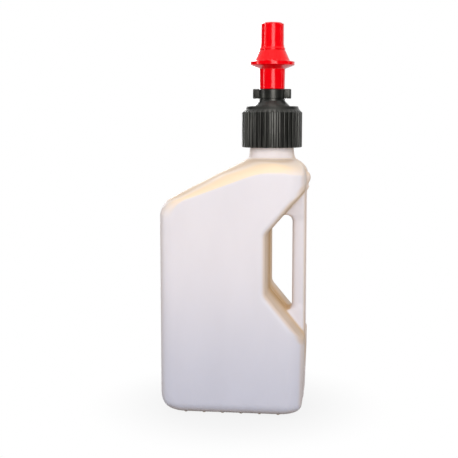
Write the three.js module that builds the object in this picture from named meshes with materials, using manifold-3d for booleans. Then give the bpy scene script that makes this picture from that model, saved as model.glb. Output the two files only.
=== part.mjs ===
// Ten litre fuel jug with a quick-fill nozzle: blow-moulded body with a through handle,
// ribbed screw cap and a push-to-open pouring nozzle.
// Millimetres, Z up. X runs from the front of the jug to its handle, Y across it.
// The origin is on the floor, below the middle of the jug's outline.
import * as THREE from 'three';
import { mergeVertices } from 'three/addons/utils/BufferGeometryUtils.js';
import Module from 'manifold-3d';

const wasm = await Module();
wasm.setup();

// Jug body
const frontX = -116;
const rearX = 109.6;
const bodyDepth = 156;
const wall = 2.8;
const cornerRadius = 26;
const footHeight = 3;
const frontBaseRun = 21;
const frontBaseRise = 30;
const rearBaseRadius = 15;
const sideBaseRadius = 18;
const rearTaper = 3;
const rearTaperTop = 90;
const shoulderStartZ = 313;
const frontShoulderRadius = 29;
const shoulderAngle = THREE.MathUtils.degToRad(27);
const rearShoulderRadius = 31;
const sideShoulderDrop = 35;

// Neck and its thread
const neckX = 54;
const neckRadius = 34.5;
const neckFlare = 2.6;
const neckFlareHeight = 12;
const capStandOff = 17.5;
const threadPitch = 6;
const threadHeight = 2.4;
const threadTurns = 1.6;
const threadClearance = 0.5;

// Grip opening and handle bar
const gripX = 50.3;
const gripLowZ = 192.6;
const gripHighZ = 285;
const rampAngle = THREE.MathUtils.degToRad(50.2);
const roofAngle = THREE.MathUtils.degToRad(49.2);
const gripCornerRadius = 12;
const gripRimRadius = 9;
const gripDraft = 1.8;
const barThickness = 21;
const barDepth = 34;
const barEdgeRadius = 7;
const barRootReach = 12;
const barRootHeight = 20;

// Feet, and the boss and tab behind the shoulder
const footCount = 6;
const footPitch = 29.2;
const footTopWidth = 9;
const footLandWidth = 4.5;
const footLength = 122;
const bossZ = 369;
const bossRadii = [8.4, 11, 10.2];
const bossSink = 2;
const tabZ = 354.4;
const tabRadii = [4.6, 3, 4.8];

// Screw cap
const capRadius = 47.4;
const capHeight = 54.3;
const capRibCount = 36;
const capRibDepth = 1.8;
const capWall = 3.1;
const capChamfer = 4.7;
const capHubRadius = 42.2;
const capHubTopRadius = 40.8;
const capHubHeight = 4.9;
const capPlate = 5;
const capThreadWall = 3;
const capThreadDepth = 32;

// Nozzle base
const noseRadius = 27.6;
const noseTopRadius = 20.2;
const noseCylinder = 11;
const nosePlinth = 3.4;
const noseWall = 2.6;
const flangeRadius = 34.6;
const flangeThickness = 4.4;
const gasketThickness = 2;
const gasketWidth = 4.6;

// Eared collar and the joint inside it
const collarRadius = 21.5;
const collarHeight = 14.8;
const collarSpan = 59.5;
const earWidth = 15;
const lipThickness = 2.1;
const lipDepth = 1.2;
const jointRadius = 19.8;
const plugRadius = 17;
const plugLength = 6.4;
const plugWall = 3.4;

// Nozzle body with its tank flange and cone
const lowerTubeRadius = 19.7;
const lowerTubeTopRadius = 20.2;
const lowerTubeLength = 30.9;
const tankFlangeRadius = 34.8;
const tankFlangeThickness = 7.3;
const flangeUnderside = 4.8;
const coneFootRadius = 27.8;
const coneTopRadius = 20.2;
const coneHeight = 16.7;
const glandHeight = 8;
const glandTopRadius = 18.6;
const glandSpigot = 5;

// Sliding pour tube
const tubeRadius = 17.8;
const tubeWall = 1.9;
const tubeAboveGland = 33.9;
const tubeTail = 32;
const tubeTravel = 20;
const beadHeight = 1.1;
const beadThickness = 3;
const mouthRadius = 13.2;
const mouthLength = 10.6;

// Valve and spring
const stemRadius = 4.5;
const spiderHeight = 4.6;
const spiderRing = 3;
const spokeCount = 3;
const spokeWidth = 3;
const headRadius = 12.7;
const headHeight = 8;
const headRecess = 1.4;
const ringSection = 0.85;
const springRadius = 14.7;
const wireRadius = 0.9;
const springTurns = 8;

// Clearances
const seat = 0.3;
const running = 0.3;
const ringGap = 0.06;

// Steps round a turned piece, and round a quarter of the jug's corners
const turnSteps = 32;
const frontSteps = 7;
const rearSteps = 6;

// Heights and places that follow from the sizes above
const halfDepth = bodyDepth / 2;
const slopeTurn = Math.PI / 2 - shoulderAngle;
const slopeStartX = frontX + frontShoulderRadius * (1 - Math.cos(slopeTurn));
const slopeStartZ = shoulderStartZ + frontShoulderRadius * Math.sin(slopeTurn);
const neckBaseRadius = neckRadius + neckFlare;
const shoulderTopZ = slopeStartZ + (neckX - neckBaseRadius - slopeStartX) * Math.tan(shoulderAngle);
const capBottomZ = shoulderTopZ + capStandOff;
const capShoulderZ = capBottomZ + capHeight;
const capPlateTopZ = capShoulderZ + capChamfer;
const capTopZ = capPlateTopZ + capHubHeight;
const capUndersideZ = capPlateTopZ - capPlate;
const flangeTopZ = capUndersideZ - seat;
const flangeBottomZ = flangeTopZ - flangeThickness;
const gasketTopZ = flangeBottomZ - seat;
const neckRimZ = gasketTopZ - gasketThickness - seat;
const noseConeZ = flangeTopZ + noseCylinder;
const noseTopZ = noseConeZ + (noseRadius - noseTopRadius);
const shoulderZ = noseTopZ + nosePlinth;
const collarBottomZ = shoulderZ + seat;
const collarTopZ = collarBottomZ + collarHeight;
const baseTopZ = collarBottomZ + collarHeight / 2 - seat;
const nozzleSeatZ = baseTopZ + seat;
const lowerTubeZ = collarTopZ + seat;
const undersideZ = lowerTubeZ + lowerTubeLength;
const tankFlangeZ = undersideZ + flangeUnderside;
const tankFlangeTopZ = tankFlangeZ + tankFlangeThickness;
const coneTopZ = tankFlangeTopZ + coneHeight;
const glandTopZ = coneTopZ + glandHeight;
const tubeTopZ = glandTopZ + tubeAboveGland;
const glandSpigotZ = coneTopZ - glandSpigot;
const beadTopZ = glandSpigotZ - seat;
const beadBottomZ = beadTopZ - beadThickness;
const beadRadius = tubeRadius + beadHeight;
const chamberFloorZ = beadBottomZ - tubeTravel - 2 * seat;
const tubeBottomZ = beadBottomZ - tubeTail + 3;
const ledgeZ = tubeBottomZ - tubeTravel - 2;
const plugBottomZ = nozzleSeatZ - plugLength;
const plugBoreRadius = plugRadius - plugWall;
const spiderTopZ = plugBottomZ - seat;
const spiderBottomZ = spiderTopZ - spiderHeight;
const tubeBoreRadius = tubeRadius - tubeWall;
const mouthFloorZ = tubeTopZ - mouthLength;
const headTopZ = tubeTopZ - headRecess;
const headBottomZ = headTopZ - headHeight;
const barRearX = rearX - 0.4;
const barFrontX = barRearX - barThickness;

// A closed solid from a three.js geometry
function weld(geometry) {
  const plain = geometry.index ? geometry.toNonIndexed() : geometry.clone();
  plain.deleteAttribute('normal');
  plain.deleteAttribute('uv');
  return mergeVertices(plain, 1e-4);
}

function signedVolume(geometry) {
  const p = geometry.attributes.position;
  const index = geometry.index.array;
  const [a, b, c] = [new THREE.Vector3(), new THREE.Vector3(), new THREE.Vector3()];
  let sum = 0;
  for (let i = 0; i < index.length; i += 3) {
    a.fromBufferAttribute(p, index[i]);
    b.fromBufferAttribute(p, index[i + 1]);
    c.fromBufferAttribute(p, index[i + 2]);
    sum += a.dot(b.cross(c));
  }
  return sum / 6;
}

function solid(geometry) {
  const welded = weld(geometry);
  const triVerts = Uint32Array.from(welded.index.array);
  if (signedVolume(welded) < 0) {
    for (let i = 0; i < triVerts.length; i += 3) {
      [triVerts[i], triVerts[i + 1]] = [triVerts[i + 1], triVerts[i]];
    }
  }
  const vertProperties = Float32Array.from(welded.attributes.position.array);
  return new wasm.Manifold(new wasm.Mesh({ numProp: 3, vertProperties, triVerts }));
}

function geometryOf(manifold) {
  const { vertProperties, triVerts, numProp } = manifold.getMesh();
  const positions = new Float32Array(vertProperties.length / numProp * 3);
  for (let i = 0; i < positions.length / 3; i += 1) {
    positions.set(vertProperties.subarray(i * numProp, i * numProp + 3), i * 3);
  }
  const geometry = new THREE.BufferGeometry();
  geometry.setAttribute('position', new THREE.BufferAttribute(positions, 3));
  geometry.setIndex(new THREE.BufferAttribute(Uint32Array.from(triVerts), 1));
  geometry.computeVertexNormals();
  return geometry;
}

// The solid turned from a closed outline of radius and height about the nozzle's axis
function turned(outline, steps = turnSteps) {
  const points = outline.map(([radius, z]) => new THREE.Vector2(radius, z));
  points.push(points[0].clone());
  const geometry = new THREE.LatheGeometry(points, steps);
  geometry.rotateX(Math.PI / 2);
  geometry.translate(neckX, 0, 0);
  return solid(geometry);
}

// The triangles that close a ring of points, wound as the ring is
function capFaces(ring) {
  const planes = [[0, 1], [1, 2], [2, 0]];
  const flatten = ([u, v]) => ring.map((p) => new THREE.Vector2(p[u], p[v]));
  const sizes = planes.map((plane) => Math.abs(THREE.ShapeUtils.area(flatten(plane))));
  const contour = flatten(planes[sizes.indexOf(Math.max(...sizes))]);
  const sense = Math.sign(THREE.ShapeUtils.area(contour));
  return THREE.ShapeUtils.triangulateShape(contour, []).map((face) => {
    const area = THREE.ShapeUtils.area(face.map((i) => contour[i]));
    return Math.sign(area) === sense ? face : [face[1], face[0], face[2]];
  });
}

// A closed solid through rings of points, each ring with as many points as the next
function loft(rings) {
  const count = rings[0].length;
  const last = (rings.length - 1) * count;
  const index = [];
  for (const [a, b, c] of capFaces(rings[0])) index.push(b, a, c);
  for (const [a, b, c] of capFaces(rings.at(-1))) index.push(last + a, last + b, last + c);
  for (let i = 0; i < rings.length - 1; i += 1) {
    for (let j = 0; j < count; j += 1) {
      const a = i * count + j;
      const b = i * count + (j + 1) % count;
      index.push(a, b, b + count, a, b + count, a + count);
    }
  }
  const geometry = new THREE.BufferGeometry();
  geometry.setAttribute('position', new THREE.Float32BufferAttribute(rings.flat(2), 3));
  geometry.setIndex(index);
  return solid(geometry);
}

// An outline in X and Z moved outwards by an offset, with its corners rounded
function roundedOutline(corners, radius, offset, steps = 5) {
  const count = corners.length;
  const direction = (i) => {
    const [x0, z0] = corners[i % count];
    const [x1, z1] = corners[(i + 1) % count];
    const length = Math.hypot(x1 - x0, z1 - z0);
    return [(x1 - x0) / length, (z1 - z0) / length];
  };
  return corners.flatMap(([x, z], i) => {
    const [ax, az] = direction(i + count - 1);
    const [bx, bz] = direction(i);
    const turn = Math.acos(ax * bx + az * bz);
    const arc = radius + offset;
    const centreX = x + (-az - bz) / (1 + Math.cos(turn)) * radius;
    const centreZ = z + (ax + bx) / (1 + Math.cos(turn)) * radius;
    const start = Math.atan2(-ax, az);
    return Array.from({ length: steps + 1 }, (_, k) => {
      const angle = start + turn * k / steps;
      return [centreX + arc * Math.cos(angle), centreZ + arc * Math.sin(angle)];
    });
  });
}

// Share of a quarter ellipse's run that is left at a height above its foot
function quarterInset(height, rise) {
  const rest = Math.max(0, 1 - height / rise);
  return 1 - Math.sqrt(Math.max(0, 1 - rest * rest));
}

const mix = THREE.MathUtils.lerp;
const share = (value, low, high) => THREE.MathUtils.clamp((value - low) / (high - low), 0, 1);

// The jug's level section at a height: its ends, half depth and the corners' half axes
function bodySection(z) {
  if (z >= shoulderTopZ) {
    const rest = 1 - share(z, shoulderTopZ, shoulderTopZ + neckFlareHeight);
    const r = neckRadius + neckFlare * rest * rest;
    return { front: neckX - r, rear: neckX + r, half: r, frontRun: r, frontDepth: r, rearRun: r, rearDepth: r };
  }
  const up = z - footHeight;
  const rearArcZ = shoulderTopZ - Math.sqrt(
    rearShoulderRadius ** 2 - (neckX + neckBaseRadius - rearX + rearShoulderRadius) ** 2);
  let front = frontX + frontBaseRun * quarterInset(up, frontBaseRise);
  if (z > slopeStartZ) {
    front = slopeStartX + (z - slopeStartZ) / Math.tan(shoulderAngle);
  } else if (z > shoulderStartZ) {
    const rise = z - shoulderStartZ;
    front = frontX + frontShoulderRadius - Math.sqrt(frontShoulderRadius ** 2 - rise ** 2);
  }
  let rear = rearX - rearTaper * (1 - share(z, footHeight, rearTaperTop))
    - rearBaseRadius * quarterInset(up, rearBaseRadius);
  if (z > rearArcZ) {
    rear = rearX - rearShoulderRadius + Math.sqrt(rearShoulderRadius ** 2 - (z - rearArcZ) ** 2);
  }
  const crown = share(z, shoulderTopZ - sideShoulderDrop, shoulderTopZ);
  const half = mix(neckBaseRadius, halfDepth, (1 - crown ** 2) ** 0.6)
    - sideBaseRadius * quarterInset(up, sideBaseRadius);
  const bow = share(z, shoulderStartZ, slopeStartZ);
  const spread = crown ** 1.5;
  const cornerRun = cornerRadius / Math.sin(shoulderAngle) * 0.9;
  return {
    front,
    rear,
    half,
    frontRun: mix(mix(cornerRadius, cornerRun, bow), neckBaseRadius, crown),
    frontDepth: mix(cornerRadius, half, spread),
    rearRun: mix(cornerRadius, neckBaseRadius, crown),
    rearDepth: mix(cornerRadius, half, spread),
  };
}

// Half a step is left out at each end of a corner, so that on a round section no two
// points of the ring fall together
function sectionPoints(z) {
  const s = bodySection(z);
  const corner = (end, run, depth, sideX, sideY, steps) => Array.from({ length: steps }, (_, k) => {
    const angle = Math.PI / 2 * (k + 0.5) / steps;
    const x = end - sideX * run * (1 - Math.cos(angle));
    const y = sideY * (s.half - depth * (1 - Math.sin(angle)));
    return [x, y, z];
  });
  return [
    corner(s.rear, s.rearRun, s.rearDepth, 1, 1, rearSteps),
    corner(s.front, s.frontRun, s.frontDepth, -1, 1, frontSteps).reverse(),
    corner(s.front, s.frontRun, s.frontDepth, -1, -1, frontSteps),
    corner(s.rear, s.rearRun, s.rearDepth, 1, -1, rearSteps).reverse(),
  ].flat();
}

function bodyLevels() {
  const base = [0, 0.6, 2.4, 5.4, 9.5, 15, 21, frontBaseRise].map((up) => footHeight + up);
  const bend = [0, 0.2, 0.4, 0.6, 0.8, 1].map((k) => shoulderStartZ
    + frontShoulderRadius * Math.sin(slopeTurn * k));
  const lowSlope = shoulderTopZ - sideShoulderDrop;
  const crown = [0, 0.25, 0.45, 0.62, 0.76, 0.87, 0.95, 0.99].map((k) => mix(lowSlope, shoulderTopZ, k));
  const neck = [0, 0.3, 0.65, 1].map((k) => shoulderTopZ + neckFlareHeight * k);
  return [...base, rearTaperTop, ...bend, ...crown, ...neck, neckRimZ];
}

// The body's rings moved inwards along the surface by a wall's thickness
function insetRings(rings, thickness) {
  const point = (i, j) => new THREE.Vector3(...rings[i][(j + rings[i].length) % rings[i].length]);
  return rings.map((ring, i) => ring.map((p, j) => {
    const around = point(i, j + 1).sub(point(i, j - 1));
    const upward = point(Math.min(i + 1, rings.length - 1), j).sub(point(Math.max(i - 1, 0), j));
    const outward = around.cross(upward).normalize();
    return new THREE.Vector3(...p).addScaledVector(outward, -thickness).toArray();
  }));
}

// A helical ridge of trapezoid section, fading in and out at its ends
function threadRidge(rootRadius, tipRadius, startZ, turns) {
  const stepsPerTurn = 30;
  const steps = Math.round(turns * stepsPerTurn);
  const sunk = rootRadius + 0.6 * Math.sign(rootRadius - tipRadius);
  const rootHalf = threadPitch * 0.26;
  const tipHalf = threadPitch * 0.12;
  const rings = Array.from({ length: steps + 1 }, (_, k) => {
    const fade = Math.min(1, k / 3 + 0.05, (steps - k) / 3 + 0.05);
    const angle = Math.PI * 2 * k / stepsPerTurn;
    const z = startZ + threadPitch * k / stepsPerTurn;
    const tip = mix(rootRadius, tipRadius, fade);
    const section = [[sunk, -rootHalf], [tip, -tipHalf], [tip, tipHalf], [sunk, rootHalf]];
    return section.map(([r, dz]) => [neckX + r * Math.cos(angle), r * Math.sin(angle), z + dz]);
  });
  return loft(rings);
}

// The drafted grip opening, grown by an offset, from one side of the jug to the other
function gripTool(offset) {
  const beyond = rearX + 30;
  const corners = [
    [gripX, gripLowZ],
    [beyond, gripLowZ - (beyond - gripX) * Math.tan(rampAngle)],
    [beyond, gripHighZ + (beyond - gripX) * Math.tan(roofAngle)],
    [gripX, gripHighZ],
  ];
  const flareTurn = THREE.MathUtils.degToRad(80);
  const flare = [1, 0.75, 0.5, 0.25, 0].map((k) => flareTurn * k);
  const side = flare.map((angle) => [
    halfDepth - gripRimRadius * (1 - Math.sin(angle)),
    gripRimRadius * (1 - Math.cos(angle)),
  ]);
  const stations = [[halfDepth + 5, side[0][1]], ...side];
  const rings = [
    ...stations.map(([y, grow]) => [-y, grow]),
    [0, -gripDraft],
    ...stations.reverse().map(([y, grow]) => [y, grow]),
  ];
  return loft(rings.map(([y, grow]) => {
    const outline = roundedOutline(corners, gripCornerRadius, grow + offset);
    return outline.map(([x, z]) => [x, y, z]);
  }));
}

// The handle bar, thinner all round by an inset, with spreading roots
function handleBar(inset) {
  const lowEnd = gripLowZ - (barRearX - gripX) * Math.tan(rampAngle) - 3 - inset;
  const highEnd = gripHighZ + (barRearX - gripX) * Math.tan(roofAngle) + 3 + inset;
  const lowRoot = gripLowZ - (barFrontX - gripX) * Math.tan(rampAngle) + 2;
  const highRoot = gripHighZ + (barFrontX - gripX) * Math.tan(roofAngle) - 2;
  const spread = [0, 0.2, 0.45, 0.72, 1];
  const stations = [
    [lowEnd, 1],
    ...spread.map((k) => [lowRoot + barRootHeight * k, (1 - k) ** 2]),
    ...spread.toReversed().map((k) => [highRoot - barRootHeight * k, (1 - k) ** 2]),
    [highEnd, 1],
  ];
  return loft(stations.map(([z, reach]) => {
    const front = barFrontX - barRootReach * reach + inset;
    const rear = barRearX - inset;
    const half = barDepth / 2 + barRootReach / 2 * reach - inset;
    const corners = [[front, -half], [rear, -half], [rear, half], [front, half]];
    const outline = roundedOutline(corners, barEdgeRadius - inset, 0, 4);
    return outline.map(([x, y]) => [x, y, z]);
  }));
}

function bump(z, radii, sink) {
  const geometry = new THREE.SphereGeometry(1, 16, 12);
  geometry.scale(...radii);
  geometry.translate(rearX - sink, 0, z);
  return solid(geometry);
}

function foot(x) {
  const ring = (width, length, z) => [
    [x - width / 2, -length / 2, z],
    [x + width / 2, -length / 2, z],
    [x + width / 2, length / 2, z],
    [x - width / 2, length / 2, z],
  ];
  const taper = footTopWidth - footLandWidth;
  return loft([
    ring(footLandWidth, footLength - 2 * taper, 0),
    ring(footTopWidth, footLength, footHeight + wall / 2),
  ]);
}

function jugBody() {
  const rings = bodyLevels().map(sectionPoints);
  const inner = insetRings(rings, wall);
  const openTop = inner.at(-1).map(([x, y]) => [x, y, neckRimZ + 5]);
  let body = loft(rings).subtract(gripTool(0)).add(handleBar(0));
  body = body.add(bump(bossZ, bossRadii, bossSink));
  body = body.add(bump(tabZ, tabRadii, 0));
  const middleX = (frontX + rearX) / 2;
  for (let i = 0; i < footCount; i += 1) {
    body = body.add(foot(middleX + footPitch * (i - (footCount - 1) / 2)));
  }
  const threadTopZ = neckRimZ - threadPitch;
  const threadZ = threadTopZ - threadPitch * threadTurns;
  body = body.add(threadRidge(neckRadius, neckRadius + threadHeight, threadZ, threadTurns));
  const cavity = loft([...inner.slice(0, -1), openTop]).subtract(gripTool(wall)).add(handleBar(wall));
  return body.subtract(cavity);
}

// The ribbed screw cap: outer skirt, threaded inner wall and a raised hub round the nose
function screwCap() {
  const valley = capRadius - capRibDepth;
  const ribShape = [[-0.25, 1], [0.25, 1], [0.37, 0], [0.63, 0]];
  const ribbed = (radius, depth, z) => Array.from({ length: capRibCount }, (_, i) => ribShape.map(([at, high]) => {
    const angle = Math.PI * 2 * (i + at) / capRibCount;
    const r = radius - depth * (1 - high);
    return [neckX + r * Math.cos(angle), r * Math.sin(angle), z];
  })).flat();
  const round = 1.4;
  const outer = loft([
    ribbed(capRadius - round, capRibDepth - round, capBottomZ),
    ribbed(capRadius, capRibDepth, capBottomZ + round),
    ribbed(capRadius, capRibDepth, capShoulderZ),
    ribbed(capHubRadius + 0.6, 0, capPlateTopZ),
  ]);
  const hub = turned([
    [0, capPlateTopZ - capPlate], [capHubRadius, capPlateTopZ - capPlate],
    [capHubRadius, capPlateTopZ], [capHubTopRadius, capTopZ], [0, capTopZ],
  ], capRibCount);
  const skirtBore = valley - capWall;
  const threadBore = neckRadius + threadHeight + threadClearance;
  const threadWallRadius = threadBore + capThreadWall;
  const threadWallZ = capUndersideZ - capThreadDepth;
  const bore = turned([
    [0, capBottomZ - 5], [skirtBore, capBottomZ - 5], [skirtBore, capShoulderZ - capPlate + 1],
    [threadWallRadius, capShoulderZ - capPlate + 1], [threadWallRadius, threadWallZ],
    [threadBore, threadWallZ], [threadBore, capUndersideZ], [noseRadius + 2 * running, capUndersideZ],
    [noseRadius + 2 * running, capTopZ + 5], [0, capTopZ + 5],
  ], capRibCount);
  const ridgeTurns = threadTurns - 0.2;
  const ridgeZ = neckRimZ - threadPitch * (threadTurns + 1.5);
  const ridge = threadRidge(threadBore, threadBore - threadHeight, ridgeZ, ridgeTurns);
  return outer.add(hub).subtract(bore).add(ridge);
}

function neckGasket() {
  const outer = flangeRadius - running;
  const top = gasketTopZ;
  const bottom = gasketTopZ - gasketThickness;
  return turned([[outer - gasketWidth, bottom], [outer, bottom], [outer, top], [outer - gasketWidth, top]]);
}

// Flanged base with the cone that comes up through the cap, and the spigot for the nozzle
function nozzleBase() {
  const bore = plugBoreRadius + 1;
  const innerNose = noseRadius - noseWall;
  const coneFloor = spiderBottomZ - seat - (innerNose - bore);
  const grooveRadius = jointRadius - lipDepth;
  const socket = plugRadius + running;
  return turned([
    [innerNose, flangeBottomZ], [flangeRadius, flangeBottomZ], [flangeRadius, flangeTopZ],
    [noseRadius, flangeTopZ], [noseRadius, noseConeZ], [noseTopRadius, noseTopZ],
    [noseTopRadius, shoulderZ], [grooveRadius, shoulderZ],
    [grooveRadius, collarBottomZ + lipThickness + seat], [jointRadius, collarBottomZ + lipThickness + seat],
    [jointRadius, baseTopZ], [socket, baseTopZ], [socket, spiderBottomZ - seat],
    [bore, spiderBottomZ - seat], [innerNose, coneFloor],
  ]);
}

// The collar that clips the nozzle to its base, with an ear on each side
function clampCollar() {
  const bore = jointRadius + running;
  const lip = jointRadius - lipDepth + running;
  const round = 1;
  const ring = turned([
    [lip, collarBottomZ], [collarRadius, collarBottomZ], [collarRadius, collarTopZ - round],
    [collarRadius - round, collarTopZ], [lip, collarTopZ], [lip, collarTopZ - lipThickness],
    [bore, collarTopZ - lipThickness], [bore, collarBottomZ + lipThickness], [lip, collarBottomZ + lipThickness],
  ]);
  const [earX, earY] = [collarSpan / 2, earWidth / 2];
  const corners = [[-earX, -earY], [earX, -earY], [earX, earY], [-earX, earY]];
  const level = (grow, z) => roundedOutline(corners, 3, grow, 3).map(([x, y]) => [neckX + x, y, z]);
  const bar = loft([
    level(-round, collarBottomZ),
    level(0, collarBottomZ + round),
    level(0, collarTopZ - round),
    level(-round, collarTopZ),
  ]);
  const clear = turned([
    [0, collarBottomZ - 1], [bore + 0.4, collarBottomZ - 1], [bore + 0.4, collarTopZ + 1], [0, collarTopZ + 1],
  ]);
  return ring.add(bar.subtract(clear));
}

// Red nozzle body: plug, lower tube, tank flange and cone, bored for the sliding tube
function nozzleBody() {
  const groove = jointRadius - lipDepth;
  const guide = tubeRadius + running;
  const chamber = beadRadius + running;
  const edge = 1;
  const ringZ = plugBottomZ + plugLength / 2;
  const ringFloor = plugRadius + running - ringGap * 2 - ringSection * 2;
  const ringHalf = ringSection + 0.2;
  return turned([
    [plugBoreRadius, plugBottomZ], [plugRadius, plugBottomZ],
    [plugRadius, ringZ - ringHalf], [ringFloor, ringZ - ringHalf],
    [ringFloor, ringZ + ringHalf], [plugRadius, ringZ + ringHalf],
    [plugRadius, nozzleSeatZ], [jointRadius, nozzleSeatZ],
    [jointRadius, collarTopZ - lipThickness - seat], [groove, collarTopZ - lipThickness - seat],
    [groove, lowerTubeZ], [lowerTubeRadius, lowerTubeZ], [lowerTubeTopRadius, undersideZ],
    [tankFlangeRadius - 3, tankFlangeZ - 0.6], [tankFlangeRadius, tankFlangeZ + edge],
    [tankFlangeRadius, tankFlangeTopZ - edge], [tankFlangeRadius - edge, tankFlangeTopZ],
    [coneFootRadius, tankFlangeTopZ], [coneTopRadius, coneTopZ - seat],
    [chamber, coneTopZ - seat], [chamber, chamberFloorZ], [guide, chamberFloorZ - 1],
    [guide, ledgeZ], [plugBoreRadius, ledgeZ],
  ]);
}

// A rubber ring of round section
function sealRing(radius, section, z) {
  const steps = 6;
  const outline = Array.from({ length: steps }, (_, k) => {
    const angle = Math.PI * 2 * k / steps;
    return [radius + section * Math.cos(angle), z + section * Math.sin(angle)];
  });
  return turned(outline);
}

function baseSealRing() {
  return sealRing(plugRadius + running - ringGap - ringSection, ringSection, plugBottomZ + plugLength / 2);
}

// The gland ring closes the cone's top, guides the tube and holds its wiper
const wiperZ = coneTopZ + 3;
const wiperSection = 0.7;
function glandRing() {
  const bore = tubeRadius + running;
  const spigot = beadRadius + running - 0.1;
  const wiperFloor = tubeRadius + 2 * ringGap + 2 * wiperSection + 0.1;
  const wiperHalf = wiperSection + 0.2;
  return turned([
    [bore, glandSpigotZ], [spigot, glandSpigotZ], [spigot, coneTopZ], [coneTopRadius, coneTopZ],
    [coneTopRadius, coneTopZ + 2.4], [glandTopRadius, glandTopZ], [bore, glandTopZ],
    [bore, wiperZ + wiperHalf], [wiperFloor, wiperZ + wiperHalf],
    [wiperFloor, wiperZ - wiperHalf], [bore, wiperZ - wiperHalf],
  ]);
}

function wiperRing() {
  return sealRing(tubeRadius + ringGap + wiperSection + 0.05, wiperSection, wiperZ);
}

// The tube that slides down into the nozzle body when it is pressed on a filler
function pourTube() {
  const round = 1.8;
  return turned([
    [tubeBoreRadius, tubeBottomZ], [tubeRadius, tubeBottomZ], [tubeRadius, beadBottomZ],
    [beadRadius, beadBottomZ], [beadRadius, beadTopZ], [tubeRadius, beadTopZ],
    [tubeRadius, tubeTopZ - round], [tubeRadius - round * 0.3, tubeTopZ - round * 0.3],
    [tubeRadius - round, tubeTopZ], [mouthRadius + 1, tubeTopZ], [mouthRadius, tubeTopZ - 1],
    [mouthRadius, mouthFloorZ], [tubeBoreRadius, mouthFloorZ],
  ]);
}

// Fixed stem with the spoked foot that stands in the base
function valveStem() {
  const ringRadius = plugRadius;
  const hubRadius = stemRadius + 1.2;
  const spigotRadius = stemRadius - 1.4;
  const ring = turned([
    [ringRadius - spiderRing, spiderBottomZ], [ringRadius, spiderBottomZ],
    [ringRadius, spiderTopZ], [ringRadius - spiderRing, spiderTopZ],
  ]);
  const stem = turned([
    [0, spiderBottomZ], [hubRadius, spiderBottomZ], [hubRadius, spiderTopZ + 2], [stemRadius, spiderTopZ + 5],
    [stemRadius, headBottomZ - seat], [spigotRadius, headBottomZ - seat],
    [spigotRadius, headTopZ - 3 - seat], [0, headTopZ - 3 - seat],
  ], 20);
  let foot = stem.add(ring);
  for (let i = 0; i < spokeCount; i += 1) {
    const reach = ringRadius - spiderRing / 2;
    const spoke = new THREE.BoxGeometry(reach, spokeWidth, spiderHeight);
    spoke.translate(reach / 2, 0, spiderBottomZ + spiderHeight / 2);
    spoke.rotateZ(Math.PI * 2 * i / spokeCount);
    spoke.translate(neckX, 0, 0);
    foot = foot.add(solid(spoke));
  }
  return foot;
}

const headRingZ = headTopZ - headHeight / 2;
function valveHead() {
  const floor = mouthRadius - 2 * ringGap - 2 * ringSection;
  const half = ringSection + 0.2;
  const bore = stemRadius - 1.4 + running;
  return turned([
    [bore, headBottomZ], [headRadius - 1.5, headBottomZ], [headRadius, headBottomZ + 1.5],
    [headRadius, headRingZ - half], [floor, headRingZ - half], [floor, headRingZ + half],
    [headRadius, headRingZ + half], [headRadius, headTopZ - 1.2], [headRadius - 1.2, headTopZ],
    [0, headTopZ], [0, headTopZ - 3], [bore, headTopZ - 3],
  ]);
}

function headSealRing() {
  return sealRing(mouthRadius - ringGap - ringSection, ringSection, headRingZ);
}

// Return spring with a closed turn at each end, between the body's ledge and the mouth
function returnSpring() {
  const stepsPerTurn = 14;
  const sides = 5;
  const low = ledgeZ + seat + wireRadius;
  const high = mouthFloorZ - seat - wireRadius;
  const endRise = wireRadius * 2.3;
  const steps = springTurns * stepsPerTurn;
  const climb = (turn) => {
    if (turn <= 1) return low + endRise * turn;
    if (turn >= springTurns - 1) return high - endRise * (springTurns - turn);
    return mix(low + endRise, high - endRise, (turn - 1) / (springTurns - 2));
  };
  const rings = Array.from({ length: steps + 1 }, (_, k) => {
    const turn = k / stepsPerTurn;
    const angle = Math.PI * 2 * turn;
    return Array.from({ length: sides }, (_unused, s) => {
      const around = Math.PI * 2 * s / sides;
      const r = springRadius + wireRadius * Math.cos(around);
      return [neckX + r * Math.cos(angle), r * Math.sin(angle), climb(turn) + wireRadius * Math.sin(around)];
    });
  });
  return loft(rings);
}

const paints = {
  hdpe: { color: 0xe4dee2, roughness: 0.45, metalness: 0 },
  black: { color: 0x1b1c1b, roughness: 0.4, metalness: 0 },
  red: { color: 0xe8041c, roughness: 0.25, metalness: 0 },
  rubber: { color: 0x111111, roughness: 0.8, metalness: 0 },
  steel: { color: 0xb9bcc0, roughness: 0.3, metalness: 1 },
};

const jug = new THREE.Group();

function place(name, manifold, paint) {
  const mesh = new THREE.Mesh(geometryOf(manifold), new THREE.MeshStandardMaterial(paint));
  mesh.name = name;
  jug.add(mesh);
}

place('jug_body', jugBody(), paints.hdpe);
place('screw_cap', screwCap(), paints.black);
place('neck_gasket', neckGasket(), paints.rubber);
place('nozzle_base', nozzleBase(), paints.black);
place('clamp_collar', clampCollar(), paints.black);
place('nozzle_body', nozzleBody(), paints.red);
place('base_seal_ring', baseSealRing(), paints.rubber);
place('gland_ring', glandRing(), paints.red);
place('wiper_ring', wiperRing(), paints.rubber);
place('pour_tube', pourTube(), paints.red);
place('valve_stem', valveStem(), paints.black);
place('valve_head', valveHead(), paints.black);
place('head_seal_ring', headSealRing(), paints.rubber);
place('return_spring', returnSpring(), paints.steel);

export default jug;
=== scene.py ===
# Looks of a ten litre fuel jug: milky blow-moulded body with a through handle, ribbed black
# screw cap, eared collar and a red quick-fill nozzle.
# Sizes are millimetres, turned to metres as a mesh is made. X runs from the jug's front to its
# handle, Y across it and Z up.
import math

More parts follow.
